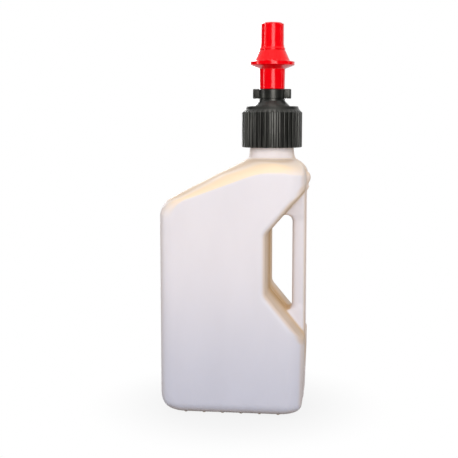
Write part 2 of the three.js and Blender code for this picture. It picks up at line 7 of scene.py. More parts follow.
import bmesh
import bpy
import numpy as np
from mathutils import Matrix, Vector


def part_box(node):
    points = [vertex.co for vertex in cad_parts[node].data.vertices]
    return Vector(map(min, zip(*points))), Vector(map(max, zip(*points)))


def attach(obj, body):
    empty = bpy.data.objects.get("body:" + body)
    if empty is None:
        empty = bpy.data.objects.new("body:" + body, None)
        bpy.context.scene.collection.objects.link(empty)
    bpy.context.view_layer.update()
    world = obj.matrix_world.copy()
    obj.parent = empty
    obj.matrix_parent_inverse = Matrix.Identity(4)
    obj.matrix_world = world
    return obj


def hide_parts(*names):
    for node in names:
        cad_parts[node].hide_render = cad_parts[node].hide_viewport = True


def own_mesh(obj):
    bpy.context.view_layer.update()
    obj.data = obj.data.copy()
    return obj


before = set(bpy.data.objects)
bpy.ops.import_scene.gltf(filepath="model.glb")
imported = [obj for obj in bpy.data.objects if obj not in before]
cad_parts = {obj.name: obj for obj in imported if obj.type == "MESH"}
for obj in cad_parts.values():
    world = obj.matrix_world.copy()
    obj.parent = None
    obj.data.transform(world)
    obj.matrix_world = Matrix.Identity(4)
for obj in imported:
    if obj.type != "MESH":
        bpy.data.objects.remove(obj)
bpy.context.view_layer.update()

MM = 0.001


def box_mm(node):
    """Lowest and highest corner of a CAD node, in millimetres."""
    low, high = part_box(node)
    return np.array(low) / MM, np.array(high) / MM


# Places taken from the frame
body_low, body_high = box_mm("jug_body")
cap_low, cap_high = box_mm("screw_cap")
base_low, base_high = box_mm("nozzle_base")
collar_low, collar_high = box_mm("clamp_collar")
nozzle_low, nozzle_high = box_mm("nozzle_body")
gland_low, gland_high = box_mm("gland_ring")
tube_low, tube_high = box_mm("pour_tube")
stem_low, stem_high = box_mm("valve_stem")
head_low, head_high = box_mm("valve_head")
spring_low, spring_high = box_mm("return_spring")
NECK_X = (cap_low[0] + cap_high[0]) / 2

# Jug body. Its front lies in by the seam's height, which keeps the seam in the CAD box.
SEAM_RADIUS = 0.55
SEAM_END_GAP = 8
SEAM_TOP_GAP = 4
FRONT_X = body_low[0] + SEAM_RADIUS
REAR_X = 109.5
HALF_DEPTH = body_high[1]
WALL = 2.8
CORNER_RADIUS = 26
FOOT_HEIGHT = 3
FRONT_BASE_RUN = 21
FRONT_BASE_RISE = 30
REAR_BASE_RADIUS = 15
SIDE_BASE_RADIUS = 18
REAR_TAPER = 3
REAR_TAPER_TOP = 90
SHOULDER_START_Z = 313
FRONT_SHOULDER_RADIUS = 29
SHOULDER_ANGLE = math.radians(27)
REAR_SHOULDER_RADIUS = 31
SIDE_SHOULDER_DROP = 23
SIDE_SHOULDER_POWER = 0.5
SHOULDER_SPREAD = 50
CREST_RUN = 31
CREST_ANGLE = math.radians(18.8)
NECK_RADIUS = 34.5
NECK_FLARE = 2.6
NECK_FLARE_HEIGHT = 12
CAP_STAND_OFF = 17.5
THREAD_PITCH = 6
THREAD_HEIGHT = 2.4
THREAD_TURNS = 1.6
THREAD_ROOT_HALF = 0.26 * THREAD_PITCH
THREAD_TIP_HALF = 0.12 * THREAD_PITCH
THREAD_SINK = 0.6
THREAD_STEPS_PER_TURN = 72
THREAD_FADE_STEPS = 8

# Grip opening and handle bar
GRIP_X = 50.3
GRIP_LOW_Z = 192.6
GRIP_HIGH_Z = 285
RAMP_ANGLE = math.radians(50.2)
ROOF_ANGLE = math.radians(49.2)
GRIP_CORNER_RADIUS = 12
GRIP_RIM_RADIUS = 9
GRIP_DRAFT = 1.8
BAR_THICKNESS = 21
BAR_DEPTH = 34
BAR_SET_IN = 0.4
BAR_EDGE_RADIUS = 7
BAR_ROOT_SPREAD = 8
BAR_ROOT_RUN = 34
BAR_ROOT_END = 8
BAR_SINK = 1.5
ROOF_FILLET = 10.5
RAMP_FILLET = 8

# Feet, boss and tab
FOOT_COUNT = 6
FOOT_PITCH = 29.2
FOOT_TOP_WIDTH = 9
FOOT_LAND_WIDTH = 4.5
FOOT_LENGTH = 122
FOOT_EDGE = 0.4
FOOT_CORNER_SHARE = 0.35
BOSS_Z = 369
BOSS_RADII = (8.4, 11, 10.2)
BOSS_SINK = 2
TAB_Z = 354.4
TAB_RADII = (4.6, 3, 4.8)

# Heights and places that follow
SLOPE_TURN = math.pi / 2 - SHOULDER_ANGLE
SLOPE_START_X = FRONT_X + FRONT_SHOULDER_RADIUS * (1 - math.cos(SLOPE_TURN))
SLOPE_START_Z = SHOULDER_START_Z + FRONT_SHOULDER_RADIUS * math.sin(SLOPE_TURN)
CREST_FALL_BACK = 1 / math.tan(CREST_ANGLE) - 1 / math.tan(SHOULDER_ANGLE)
NECK_BASE_RADIUS = NECK_RADIUS + NECK_FLARE
SHOULDER_TOP_Z = cap_low[2] - CAP_STAND_OFF
REAR_ARC_Z = SHOULDER_TOP_Z - math.sqrt(
    REAR_SHOULDER_RADIUS ** 2 - (NECK_X + NECK_BASE_RADIUS - REAR_X + REAR_SHOULDER_RADIUS) ** 2)
NECK_RIM_Z = body_high[2]
SEAM_TOP_Z = SHOULDER_TOP_Z + NECK_FLARE_HEIGHT + SEAM_TOP_GAP
BAR_REAR_X = REAR_X - BAR_SET_IN
BAR_FRONT_X = BAR_REAR_X - BAR_THICKNESS
MIDDLE_X = (FRONT_X + REAR_X) / 2

# Skin of the body: grid of the remeshed surface and how far its edges are eased
SKIN_GRID = 2.15
SKIN_EASING = 5


def mix(a, b, t):
    return a + (b - a) * t


def share(value, low, high):
    return min(max((value - low) / (high - low), 0), 1)


def smooth_share(values, low, high):
    t = np.clip((values - low) / (high - low), 0, 1)
    return t * t * (3 - 2 * t)


# Meshes
def piece_from(name, vertices, faces):
    """A new object at the origin from points in millimetres."""
    mesh = bpy.data.meshes.new(name)
    mesh.from_pydata((np.asarray(vertices, float) * MM).tolist(), [], faces)
    mesh.update()
    piece = bpy.data.objects.new(name, mesh)
    bpy.context.scene.collection.objects.link(piece)
    return piece


def signed_volume(mesh):
    mesh.calc_loop_triangles()
    points = np.empty(len(mesh.vertices) * 3)
    mesh.vertices.foreach_get("co", points)
    corners = np.empty(len(mesh.loop_triangles) * 3, int)
    mesh.loop_triangles.foreach_get("vertices", corners)
    a, b, c = points.reshape(-1, 3)[corners.reshape(-1, 3)].transpose(1, 0, 2)
    return np.einsum("ij,ij->i", a, np.cross(b, c)).sum() / 6


def loft(name, rings, closed=False):
    """A closed solid through rings with the same number of points, end to end or round to the start."""
    rings = np.asarray(rings, float)
    levels, count, _ = rings.shape
    faces = []
    for i in range(levels if closed else levels - 1):
        low = i * count
        high = (i + 1) % levels * count
        for j in range(count):
            k = (j + 1) % count
            faces.append((low + j, low + k, high + k, high + j))
    if not closed:
        faces.append(tuple(reversed(range(count))))
        faces.append(tuple(range((levels - 1) * count, levels * count)))
    piece = piece_from(name, rings.reshape(-1, 3), faces)
    if signed_volume(piece.data) < 0:
        piece.data.flip_normals()
    return piece


def arc_profile(corners, step=math.radians(15)):
    """A closed outline of (radius, height, fillet) with an arc at each corner that has a fillet."""
    points = []
    count = len(corners)
    for i, (r, z, fillet) in enumerate(corners):
        here = np.array([r, z], float)
        back = np.array(corners[i - 1][:2], float) - here
        ahead = np.array(corners[(i + 1) % count][:2], float) - here
        back_length, ahead_length = np.hypot(*back), np.hypot(*ahead)
        back, ahead = back / back_length, ahead / ahead_length
        opening = math.acos(np.clip(back @ ahead, -1, 1))
        if fillet == 0 or opening > math.pi - 0.02:
            points.append(here)
            continue
        run = min(fillet / math.tan(opening / 2), 0.48 * back_length, 0.48 * ahead_length)
        radius = run * math.tan(opening / 2)
        bisector = (back + ahead) / np.hypot(*(back + ahead))
        centre = here + bisector * radius / math.sin(opening / 2)
        start = here + back * run - centre
        turn = math.pi - opening
        steps = max(2, math.ceil(turn / step))
        side = np.sign(start[0] * ahead[1] - start[1] * ahead[0])
        for k in range(steps + 1):
            angle = side * turn * k / steps
            cosine, sine = math.cos(angle), math.sin(angle)
            points.append(centre + np.array([
                start[0] * cosine - start[1] * sine,
                start[0] * sine + start[1] * cosine,
            ]))
    return points


def turned(name, corners, steps=128):
    """The solid turned from a filleted outline about the nozzle's axis."""
    outline = arc_profile(corners)
    angles = np.arange(steps) * 2 * math.pi / steps
    rings = []
    for angle in angles:
        cosine, sine = math.cos(angle), math.sin(angle)
        rings.append([(NECK_X + max(r, 0) * cosine, max(r, 0) * sine, z) for r, z in outline])
    piece = loft(name, rings, closed=True)
    merged(piece)
    return piece


def merged(piece):
    """Closes the poles of a turned piece."""
    shape = bmesh.new()
    shape.from_mesh(piece.data)
    bmesh.ops.remove_doubles(shape, verts=shape.verts, dist=1e-7)
    bmesh.ops.dissolve_degenerate(shape, edges=shape.edges, dist=1e-7)
    shape.to_mesh(piece.data)
    shape.free()
    if signed_volume(piece.data) < 0:
        piece.data.flip_normals()


def settled(piece):
    """Turns what the modifiers show into the piece's own mesh."""
    graph = bpy.context.evaluated_depsgraph_get()
    graph.update()
    mesh = bpy.data.meshes.new_from_object(piece.evaluated_get(graph))
    piece.modifiers.clear()
    piece.data = mesh
    return piece


def joined(piece, tool, operation="UNION"):
    """Adds, cuts or keeps what a tool solid covers, and uses the tool up."""
    change = piece.modifiers.new("join", "BOOLEAN")
    change.operation = operation
    change.solver = "MANIFOLD"
    change.object = tool
    settled(piece)
    bpy.data.objects.remove(tool)
    return piece


def cut(piece, tool):
    return joined(piece, tool, "DIFFERENCE")


def finished(piece, body, node, material, crease=35):
    """Shades a piece, gives it its material, hangs it on its body and hides the CAD node it stands for."""
    piece.data.materials.clear()
    piece.data.materials.append(material)
    piece.data.shade_smooth()
    piece.data.set_sharp_from_angle(angle=math.radians(crease))
    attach(piece, body)
    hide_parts(node)
    return piece


# Materials
def colour(code):
    """Linear red, green, blue and alpha of an sRGB hex colour."""
    parts = [int(code[i:i + 2], 16) / 255 for i in (1, 3, 5)]
    linear = [c / 12.92 if c <= 0.04045 else ((c + 0.055) / 1.055) ** 2.4 for c in parts]
    return (*linear, 1)


def add_node(tree, kind, inputs=None, **settings):
    """Adds a node, sets its options, and sets or links its inputs."""
    made = tree.nodes.new(kind)
    for key, value in settings.items():
        setattr(made, key, value)
    for key, value in (inputs or {}).items():
        if isinstance(value, bpy.types.NodeSocket):
            tree.links.new(value, made.inputs[key])
        else:
            made.inputs[key].default_value = value
    return made


def new_material(name):
    material = bpy.data.materials.new(name)
    material.use_nodes = True
    tree = material.node_tree
    tree.nodes.clear()
    shader = add_node(tree, "ShaderNodeBsdfPrincipled")
    add_node(tree, "ShaderNodeOutputMaterial", {"Surface": shader.outputs["BSDF"]})
    position = add_node(tree, "ShaderNodeTexCoord").outputs["Object"]
    return material, tree, shader, position


def natural_polyethylene():
    """Blow-moulded natural high density polyethylene, unpigmented: a milky white, darker and bluer
    towards the bottom and warm where it lies in shade, all as painted shade, with painted highlight along the
    crests and a waxy, softly mottled gloss."""
    material, tree, shader, position = new_material("natural_blow_moulded_polyethylene")
    # Painted shade: the milk is darker and bluer towards the bottom
    height = add_node(tree, "ShaderNodeSeparateXYZ", {"Vector": position}).outputs["Z"]
    shade_fade_up = add_node(tree, "ShaderNodeMapRange", {
        "Value": height, "From Min": 0.0, "From Max": 0.30}, interpolation_type="SMOOTHSTEP")
    milk_shaded_low = add_node(tree, "ShaderNodeMix", {
        "Factor": shade_fade_up.outputs["Result"], "A": colour("#cbcad6"), "B": colour("#e9e2e5")},
        data_type="RGBA")
    # Painted light: a highlight along the shoulder's crests, lighter upward faces and a lighter neck
    cream_light = add_node(tree, "ShaderNodeAttribute", attribute_name="cream_light")
    with_painted_light = add_node(tree, "ShaderNodeMix", {
        "Factor": cream_light.outputs["Fac"], "A": milk_shaded_low.outputs["Result"], "B": colour("#fde2c2")},
        data_type="RGBA")
    # Warm painted shade: in the grip, at edges, underneath, at the feet and on faces that lie in shade
    amber_shade = add_node(tree, "ShaderNodeAttribute", attribute_name="amber_shade")
    with_painted_shade = add_node(tree, "ShaderNodeMix", {
        "Factor": amber_shade.outputs["Fac"], "A": with_painted_light.outputs["Result"], "B": colour("#d3b081")},
        data_type="RGBA")
    # The melt runs down the parison, so the mottling is drawn out along Z
    flow = add_node(tree, "ShaderNodeMapping", {"Vector": position, "Scale": (1.0, 1.0, 0.35)})
    mottle = add_node(tree, "ShaderNodeTexNoise", {
        "Vector": flow.outputs["Vector"], "Scale": 1 / 0.045, "Detail": 3.0, "Roughness": 0.5})
    shade = add_node(tree, "ShaderNodeMapRange", {
        "Value": mottle.outputs["Fac"], "From Min": 0.3, "From Max": 0.7, "To Min": 0.975, "To Max": 1.01})
    base = add_node(tree, "ShaderNodeMix", {
        "Factor": 1.0, "A": with_painted_shade.outputs["Result"], "B": shade.outputs["Result"]},
        data_type="RGBA", blend_type="MULTIPLY")
    tree.links.new(base.outputs["Result"], shader.inputs["Base Color"])
    gloss = add_node(tree, "ShaderNodeMapRange", {
        "Value": mottle.outputs["Fac"], "From Min": 0.3, "From Max": 0.7, "To Min": 0.40, "To Max": 0.52})
    # Roughness rises with the warm painted shade, most inside the grip, so those places mirror less of the
    # surround
    dulled = add_node(tree, "ShaderNodeMath", {
        0: amber_shade.outputs["Fac"], 1: 0.38, 2: gloss.outputs["Result"]}, operation="MULTIPLY_ADD")
    tree.links.new(dulled.outputs["Value"], shader.inputs["Roughness"])
    # Orange peel from the sand-blasted mould, 3 mm across and drawn shallow
    peel = add_node(tree, "ShaderNodeTexNoise", {"Vector": position, "Scale": 1 / 0.003, "Detail": 2.0})
    bump = add_node(tree, "ShaderNodeBump", {
        "Height": peel.outputs["Fac"], "Strength": 0.18, "Distance": 0.0002})
    tree.links.new(bump.outputs["Normal"], shader.inputs["Normal"])
    shader.inputs["IOR"].default_value = 1.54
    shader.inputs["Specular IOR Level"].default_value = 0.2
    shader.inputs["Subsurface Weight"].default_value = 0.12
    shader.inputs["Subsurface Radius"].default_value = (1.0, 0.85, 0.7)
    shader.inputs["Subsurface Scale"].default_value = 0.004
    return material


def moulded_polypropylene():
    """Injection moulded black polypropylene with a fine spark-eroded grain: a satin, slightly
    warm black that greys where it catches a lamp."""
    material, tree, shader, position = new_material("satin_black_polypropylene")
    wear = add_node(tree, "ShaderNodeTexNoise", {"Vector": position, "Scale": 1 / 0.012, "Detail": 4.0})
    tone = add_node(tree, "ShaderNodeMix", {
        "Factor": wear.outputs["Fac"], "A": colour("#0e0f0e"), "B": colour("#181816")}, data_type="RGBA")
    tree.links.new(tone.outputs["Result"], shader.inputs["Base Color"])
    gloss = add_node(tree, "ShaderNodeMapRange", {
        "Value": wear.outputs["Fac"], "From Min": 0.3, "From Max": 0.7, "To Min": 0.3, "To Max": 0.38})
    tree.links.new(gloss.outputs["Result"], shader.inputs["Roughness"])
    # Grain of the mould, 0.5 mm across: coarser than the real 0.1 mm so that it can show
    grain = add_node(tree, "ShaderNodeTexNoise", {"Vector": position, "Scale": 1 / 0.0005, "Detail": 2.0})
    bump = add_node(tree, "ShaderNodeBump", {
        "Height": grain.outputs["Fac"], "Strength": 0.12, "Distance": 0.0001})
    tree.links.new(bump.outputs["Normal"], shader.inputs["Normal"])
    shader.inputs["IOR"].default_value = 1.49
    shader.inputs["Specular IOR Level"].default_value = 0.52
    shader.inputs["Specular Tint"].default_value = colour("#fffdf4")
    return material


def gloss_nylon():
    """Injection moulded red nylon from a polished mould: a saturated red with hard, narrow lamp
    reflections and a faint ripple where the melt met."""
    material, tree, shader, position = new_material("gloss_red_nylon")
    melt = add_node(tree, "ShaderNodeTexNoise", {"Vector": position, "Scale": 1 / 0.03, "Detail": 2.0})
    tone = add_node(tree, "ShaderNodeMix", {
        "Factor": melt.outputs["Fac"], "A": colour("#ec000c"), "B": colour("#fa0010")}, data_type="RGBA")
    tree.links.new(tone.outputs["Result"], shader.inputs["Base Color"])
    gloss = add_node(tree, "ShaderNodeMapRange", {
        "Value": melt.outputs["Fac"], "From Min": 0.3, "From Max": 0.7, "To Min": 0.12, "To Max": 0.17})
    tree.links.new(gloss.outputs["Result"], shader.inputs["Roughness"])
    ripple = add_node(tree, "ShaderNodeTexNoise", {"Vector": position, "Scale": 1 / 0.006, "Detail": 1.0})
    bump = add_node(tree, "ShaderNodeBump", {
        "Height": ripple.outputs["Fac"], "Strength": 0.1, "Distance": 0.0002})
    tree.links.new(bump.outputs["Normal"], shader.inputs["Normal"])
    shader.inputs["IOR"].default_value = 1.53
    shader.inputs["Specular IOR Level"].default_value = 0.25
    return material


def nitrile_rubber():
    """Pressed nitrile rubber: a dull, dry black with a powdery bloom."""
    material, tree, shader, position = new_material("pressed_nitrile_rubber")
    bloom = add_node(tree, "ShaderNodeTexNoise", {"Vector": position, "Scale": 1 / 0.004, "Detail": 4.0})
    tone = add_node(tree, "ShaderNodeMix", {
        "Factor": bloom.outputs["Fac"], "A": colour("#0c0c0c"), "B": colour("#1a1a19")}, data_type="RGBA")
    tree.links.new(tone.outputs["Result"], shader.inputs["Base Color"])
    bump = add_node(tree, "ShaderNodeBump", {
        "Height": bloom.outputs["Fac"], "Strength": 0.3, "Distance": 0.0001})
    tree.links.new(bump.outputs["Normal"], shader.inputs["Normal"])
    shader.inputs["Roughness"].default_value = 0.8
    return material


def drawn_wire():
    """Cold drawn stainless spring wire: a grey metal with fine lines from the die."""
    material, tree, shader, position = new_material("drawn_stainless_wire")
    lines = add_node(tree, "ShaderNodeTexNoise", {"Vector": position, "Scale": 1 / 0.0008, "Detail": 2.0})
    gloss = add_node(tree, "ShaderNodeMapRange", {
        "Value": lines.outputs["Fac"], "From Min": 0.3, "From Max": 0.7, "To Min": 0.22, "To Max": 0.38})
    tree.links.new(gloss.outputs["Result"], shader.inputs["Roughness"])
    shader.inputs["Base Color"].default_value = colour("#b9bcc0")
    shader.inputs["Metallic"].default_value = 1.0
    return material


HDPE = natural_polyethylene()
BLACK = moulded_polypropylene()
RED = gloss_nylon()
RUBBER = nitrile_rubber()
STEEL = drawn_wire()


# Geometry Nodes trees
def new_tree(name, sizes):
    """A geometry tree with one named float or whole-number input for each size."""
    tree = bpy.data.node_groups.new(name, "GeometryNodeTree")
    tree.interface.new_socket("Geometry", in_out="INPUT", socket_type="NodeSocketGeometry")
    for label, value in sizes.items():
        kind = "NodeSocketInt" if isinstance(value, int) else "NodeSocketFloat"
        tree.interface.new_socket(label, in_out="INPUT", socket_type=kind)
    tree.interface.new_socket("Geometry", in_out="OUTPUT", socket_type="NodeSocketGeometry")
    return tree, add_node(tree, "NodeGroupInput").outputs


def end_tree(tree, geometry, material):
    real = add_node(tree, "GeometryNodeRealizeInstances", {"Geometry": geometry})
    painted = add_node(tree, "GeometryNodeSetMaterial", {
        "Geometry": real.outputs["Geometry"], "Material": material})
    add_node(tree, "NodeGroupOutput", {"Geometry": painted.outputs["Geometry"]})


def grown(piece, tree, sizes):
    """Runs a tree on a piece with its sizes set by identifier, and keeps the result as a mesh."""
    change = piece.modifiers.new(tree.name, "NODES")
    change.node_group = tree
    for socket in tree.interface.items_tree:
        if socket.in_out == "INPUT" and socket.name in sizes:
            change[socket.identifier] = sizes[socket.name]
    return settled(piece)


def ring_of_copies(piece, sizes, material):
    """Copies a piece round the nozzle's axis."""
    tree, inputs = new_tree("ring_of_" + piece.name, sizes)
    points = add_node(tree, "GeometryNodeMeshLine", {
        "Count": inputs["Count"], "Start Location": (NECK_X * MM, 0, 0), "Offset": (0, 0, 0)})
    step = add_node(tree, "ShaderNodeMath", {0: 2 * math.pi, 1: inputs["Count"]}, operation="DIVIDE")
    number = add_node(tree, "GeometryNodeInputIndex")
    angle = add_node(tree, "ShaderNodeMath", {
        0: number.outputs["Index"], 1: step.outputs["Value"]}, operation="MULTIPLY")
    turn = add_node(tree, "ShaderNodeCombineXYZ", {"Z": angle.outputs["Value"]})
    copies = add_node(tree, "GeometryNodeInstanceOnPoints", {
        "Points": points.outputs["Mesh"], "Instance": inputs["Geometry"], "Rotation": turn.outputs["Vector"]})
    end_tree(tree, copies.outputs["Instances"], material)
    return grown(piece, tree, sizes)


def row_of_copies(piece, sizes, material):
    """Copies a piece along X."""
    tree, inputs = new_tree("row_of_" + piece.name, sizes)
    start = add_node(tree, "ShaderNodeCombineXYZ", {"X": inputs["Start"]})
    pitch = add_node(tree, "ShaderNodeCombineXYZ", {"X": inputs["Pitch"]})
    points = add_node(tree, "GeometryNodeMeshLine", {
        "Count": inputs["Count"], "Start Location": start.outputs["Vector"],
        "Offset": pitch.outputs["Vector"]})
    copies = add_node(tree, "GeometryNodeInstanceOnPoints", {
        "Points": points.outputs["Mesh"], "Instance": inputs["Geometry"]})
    end_tree(tree, copies.outputs["Instances"], material)
    return grown(piece, tree, sizes)


# Jug body
def quarter_inset(height, rise):
    """How far a quarter round lies in at a height above its foot, as a part of its radius."""
    rest = max(0, 1 - height / rise)
    return 1 - math.sqrt(max(0, 1 - rest * rest))


def body_section(z):
    """Ends, half depth and corner half axes of the jug's level section at a height."""
    if z >= SHOULDER_TOP_Z:
        rest = 1 - share(z, SHOULDER_TOP_Z, SHOULDER_TOP_Z + NECK_FLARE_HEIGHT)
        r = NECK_RADIUS + NECK_FLARE * rest * rest
        return NECK_X - r, NECK_X + r, r, r, r, r, r
    up = z - FOOT_HEIGHT
    front = FRONT_X + FRONT_BASE_RUN * quarter_inset(up, FRONT_BASE_RISE)
    if z > SLOPE_START_Z:
        front = SLOPE_START_X + (z - SLOPE_START_Z) / math.tan(SHOULDER_ANGLE)
    elif z > SHOULDER_START_Z:
        rise = z - SHOULDER_START_Z
        front = FRONT_X + FRONT_SHOULDER_RADIUS - math.sqrt(FRONT_SHOULDER_RADIUS ** 2 - rise ** 2)
    rear = REAR_X - REAR_TAPER * (1 - share(z, FOOT_HEIGHT, REAR_TAPER_TOP))
    rear -= REAR_BASE_RADIUS * quarter_inset(up, REAR_BASE_RADIUS)
    if z > REAR_ARC_Z:
        rear = REAR_X - REAR_SHOULDER_RADIUS + math.sqrt(REAR_SHOULDER_RADIUS ** 2 - (z - REAR_ARC_Z) ** 2)
    crown = share(z, SHOULDER_TOP_Z - SIDE_SHOULDER_DROP, SHOULDER_TOP_Z)
    half = mix(NECK_BASE_RADIUS, HALF_DEPTH, (1 - crown ** 2) ** SIDE_SHOULDER_POWER)
    half -= SIDE_BASE_RADIUS * quarter_inset(up, SIDE_BASE_RADIUS)
    bow = share(z, SHOULDER_START_Z, SLOPE_START_Z)
    spread = crown ** 1.5
    crest_run = CREST_RUN + max(0, z - SLOPE_START_Z) * CREST_FALL_BACK
    front_run = mix(mix(CORNER_RADIUS, crest_run, bow), NECK_BASE_RADIUS, crown ** 2)
    rear_run = mix(CORNER_RADIUS, NECK_BASE_RADIUS, crown)
    front_depth = mix(mix(CORNER_RADIUS, SHOULDER_SPREAD, bow), half, spread)
    rear_depth = mix(CORNER_RADIUS, half, spread)
    return front, rear, half, front_run, front_depth, rear_run, rear_depth


def section_ring(z, steps):
    """Points round the section; half a step is left out at each end of a corner."""
    front, rear, half, front_run, front_depth, rear_run, rear_depth = body_section(z)
    angles = (np.arange(steps) + 0.5) / steps * math.pi / 2

    def corner(end, run, depth, side_x, side_y):
        x = end - side_x * run * (1 - np.cos(angles))
        y = side_y * (half - depth * (1 - np.sin(angles)))
        return np.column_stack([x, y, np.full(steps, z)])

    return np.vstack([
        corner(rear, rear_run, rear_depth, 1, 1),
        corner(front, front_run, front_depth, -1, 1)[::-1],
        corner(front, front_run, front_depth, -1, -1),
        corner(rear, rear_run, rear_depth, 1, -1)[::-1],
    ])


def body_heights(fine):
    """Heights of the rings, closer where the outline turns. Fine multiplies the plain count."""
    base = FOOT_HEIGHT + FRONT_BASE_RISE * (1 - np.cos(np.linspace(0, math.pi / 2, 7 * fine)))
    side = np.linspace(FOOT_HEIGHT + FRONT_BASE_RISE, SHOULDER_START_Z, 4 * fine)[1:]
    bend = SHOULDER_START_Z + FRONT_SHOULDER_RADIUS * np.sin(np.linspace(0, SLOPE_TURN, 5 * fine))[1:]
    low_slope = SHOULDER_TOP_Z - SIDE_SHOULDER_DROP
    slope = np.linspace(bend[-1], low_slope, 4 * fine)[1:-1]
    crown = mix(low_slope, SHOULDER_TOP_Z, np.sin(np.linspace(0, math.pi / 2, 9 * fine))[:-1])
    neck = np.linspace(SHOULDER_TOP_Z, SHOULDER_TOP_Z + NECK_FLARE_HEIGHT, 3 * fine)
    return np.concatenate([base, side, bend, slope, crown, neck, [NECK_RIM_Z]])


def inset_rings(rings, thickness):
    """The body's rings moved inwards along the surface by a wall's thickness."""
    rings = np.asarray(rings)
    around = np.roll(rings, -1, axis=1) - np.roll(rings, 1, axis=1)
    upward = np.gradient(rings, axis=0)
    outward = np.cross(around, upward)
    outward /= np.linalg.norm(outward, axis=2, keepdims=True)
    return rings - outward * thickness


def rounded_outline(corners, radius, offset, steps):
    """An outline in two axes moved outwards by an offset, with its corners rounded."""
    corners = np.asarray(corners, float)
    points = []
    for i, (x, z) in enumerate(corners):
        ax, az = (corners[i] - corners[i - 1]) / np.hypot(*(corners[i] - corners[i - 1]))
        after = corners[(i + 1) % len(corners)] - corners[i]
        bx, bz = after / np.hypot(*after)
        turn = math.acos(ax * bx + az * bz)
        centre_x = x + (-az - bz) / (1 + math.cos(turn)) * radius
        centre_z = z + (ax + bx) / (1 + math.cos(turn)) * radius
        start = math.atan2(-ax, az)
        for k in range(steps + 1):
            angle = start + turn * k / steps
            points.append((
                centre_x + (radius + offset) * math.cos(angle),
                centre_z + (radius + offset) * math.sin(angle),
            ))
    return points


def rectangle(low_u, low_v, high_u, high_v):
    """Corners of a rectangle in two axes, in turning order."""
    return [(low_u, low_v), (high_u, low_v), (high_u, high_v), (low_u, high_v)]


def grip_corners():
    """Corners of the grip's outline, whose ramp and roof run on beyond the jug's rear."""
    beyond = REAR_X + 30
    return [
        (GRIP_X, GRIP_LOW_Z),
        (beyond, GRIP_LOW_Z - (beyond - GRIP_X) * math.tan(RAMP_ANGLE)),
        (beyond, GRIP_HIGH_Z + (beyond - GRIP_X) * math.tan(ROOF_ANGLE)),
        (GRIP_X, GRIP_HIGH_Z),
    ]


def grip_tool(offset, steps):
    """The drafted grip opening with its flared rims, from one side of the jug to the other."""
    angles = np.linspace(math.radians(84), 0, steps)
    places = HALF_DEPTH - GRIP_RIM_RADIUS * (1 - np.sin(angles))
    growth = GRIP_RIM_RADIUS * (1 - np.cos(angles))
    stations = [(HALF_DEPTH + 5, growth[0]), *zip(places, growth)]
    across = [(-y, g) for y, g in stations] + [(0, -GRIP_DRAFT)] + [(y, g) for y, g in reversed(stations)]
    rings = []
    for y, grow in across:
        outline = rounded_outline(grip_corners(), GRIP_CORNER_RADIUS, grow + offset, steps)
        rings.append([(x, y, z) for x, z in outline])
    return loft("grip_tool", rings)


def root_stations(apex_z, angle, radius, sense, steps):
    """Heights and reaches of the bar's front where a fillet leads it into a slope of the grip."""
    run = radius / math.tan((math.pi / 2 - angle) / 2)
    centre_z = apex_z - sense * run
    stations = []
    for turn in np.linspace(0, math.pi / 2, steps):
        stations.append((centre_z + sense * radius * math.sin(turn), radius * (1 - math.cos(turn))))
    sunk = run * math.cos(angle) + BAR_SINK
    beyond = BAR_THICKNESS * math.tan(angle) + 2 * BAR_SINK
    stations.append((centre_z + sense * (radius + 0.6), sunk))
    stations.append((apex_z + sense * beyond, sunk))
    return stations


def handle_bar(inset, steps):
    """The handle bar, thinner all round by an inset, filleted into the roof and the ramp."""
    high_apex = GRIP_HIGH_Z + (BAR_FRONT_X - GRIP_X) * math.tan(ROOF_ANGLE)
    low_apex = GRIP_LOW_Z - (BAR_FRONT_X - GRIP_X) * math.tan(RAMP_ANGLE)
    stations = root_stations(low_apex - inset, RAMP_ANGLE, RAMP_FILLET, -1, steps)[::-1]
    stations += root_stations(high_apex + inset, ROOF_ANGLE, ROOF_FILLET, 1, steps)
    rings = []
    for z, reach in stations:
        front = BAR_FRONT_X - reach + inset
        rear = BAR_REAR_X - inset
        nearness = max(
            share(z, high_apex - BAR_ROOT_RUN, high_apex - BAR_ROOT_END),
            share(-z, -low_apex - BAR_ROOT_RUN, -low_apex - BAR_ROOT_END))
        half = BAR_DEPTH / 2 + BAR_ROOT_SPREAD * nearness ** 2 - inset
        outline = rounded_outline(rectangle(front, -half, rear, half), BAR_EDGE_RADIUS - inset, 0, steps)
        rings.append([(x, y, z) for x, y in outline])
    return loft("handle_bar", rings)


def rounded_lump(name, z, radii, sink):
    """A boss or tab of ellipsoid form on the jug's rear."""
    rings = []
    around = np.linspace(0, 2 * math.pi, 28, endpoint=False)
    for tilt in np.linspace(-math.pi / 2 + 0.02, math.pi / 2 - 0.02, 18):
        rings.append(np.column_stack([
            REAR_X - sink + radii[0] * math.cos(tilt) * np.cos(around),
            radii[1] * math.cos(tilt) * np.sin(around),
            np.full(len(around), z + radii[2] * math.sin(tilt)),
        ]))
    return loft(name, rings)


def feet():
    """The row of low ribs that the jug stands on."""
    def ring(width, length, z):
        corners = rectangle(-width / 2, -length / 2, width / 2, length / 2)
        return [(x, y, z) for x, y in rounded_outline(corners, width * FOOT_CORNER_SHARE, 0, 4)]

    taper = FOOT_TOP_WIDTH - FOOT_LAND_WIDTH
    rib = loft("feet", [
        ring(FOOT_LAND_WIDTH - 2 * FOOT_EDGE, FOOT_LENGTH - 2 * taper - 2 * FOOT_EDGE, 0),
        ring(FOOT_LAND_WIDTH, FOOT_LENGTH - 2 * taper, FOOT_EDGE),
        ring(FOOT_TOP_WIDTH, FOOT_LENGTH, FOOT_HEIGHT + WALL / 2),
    ])
    sizes = {
        "Count": FOOT_COUNT,
        "Start": (MIDDLE_X - FOOT_PITCH * (FOOT_COUNT - 1) / 2) * MM,
        "Pitch": FOOT_PITCH * MM,
    }
    return row_of_copies(rib, sizes, HDPE)


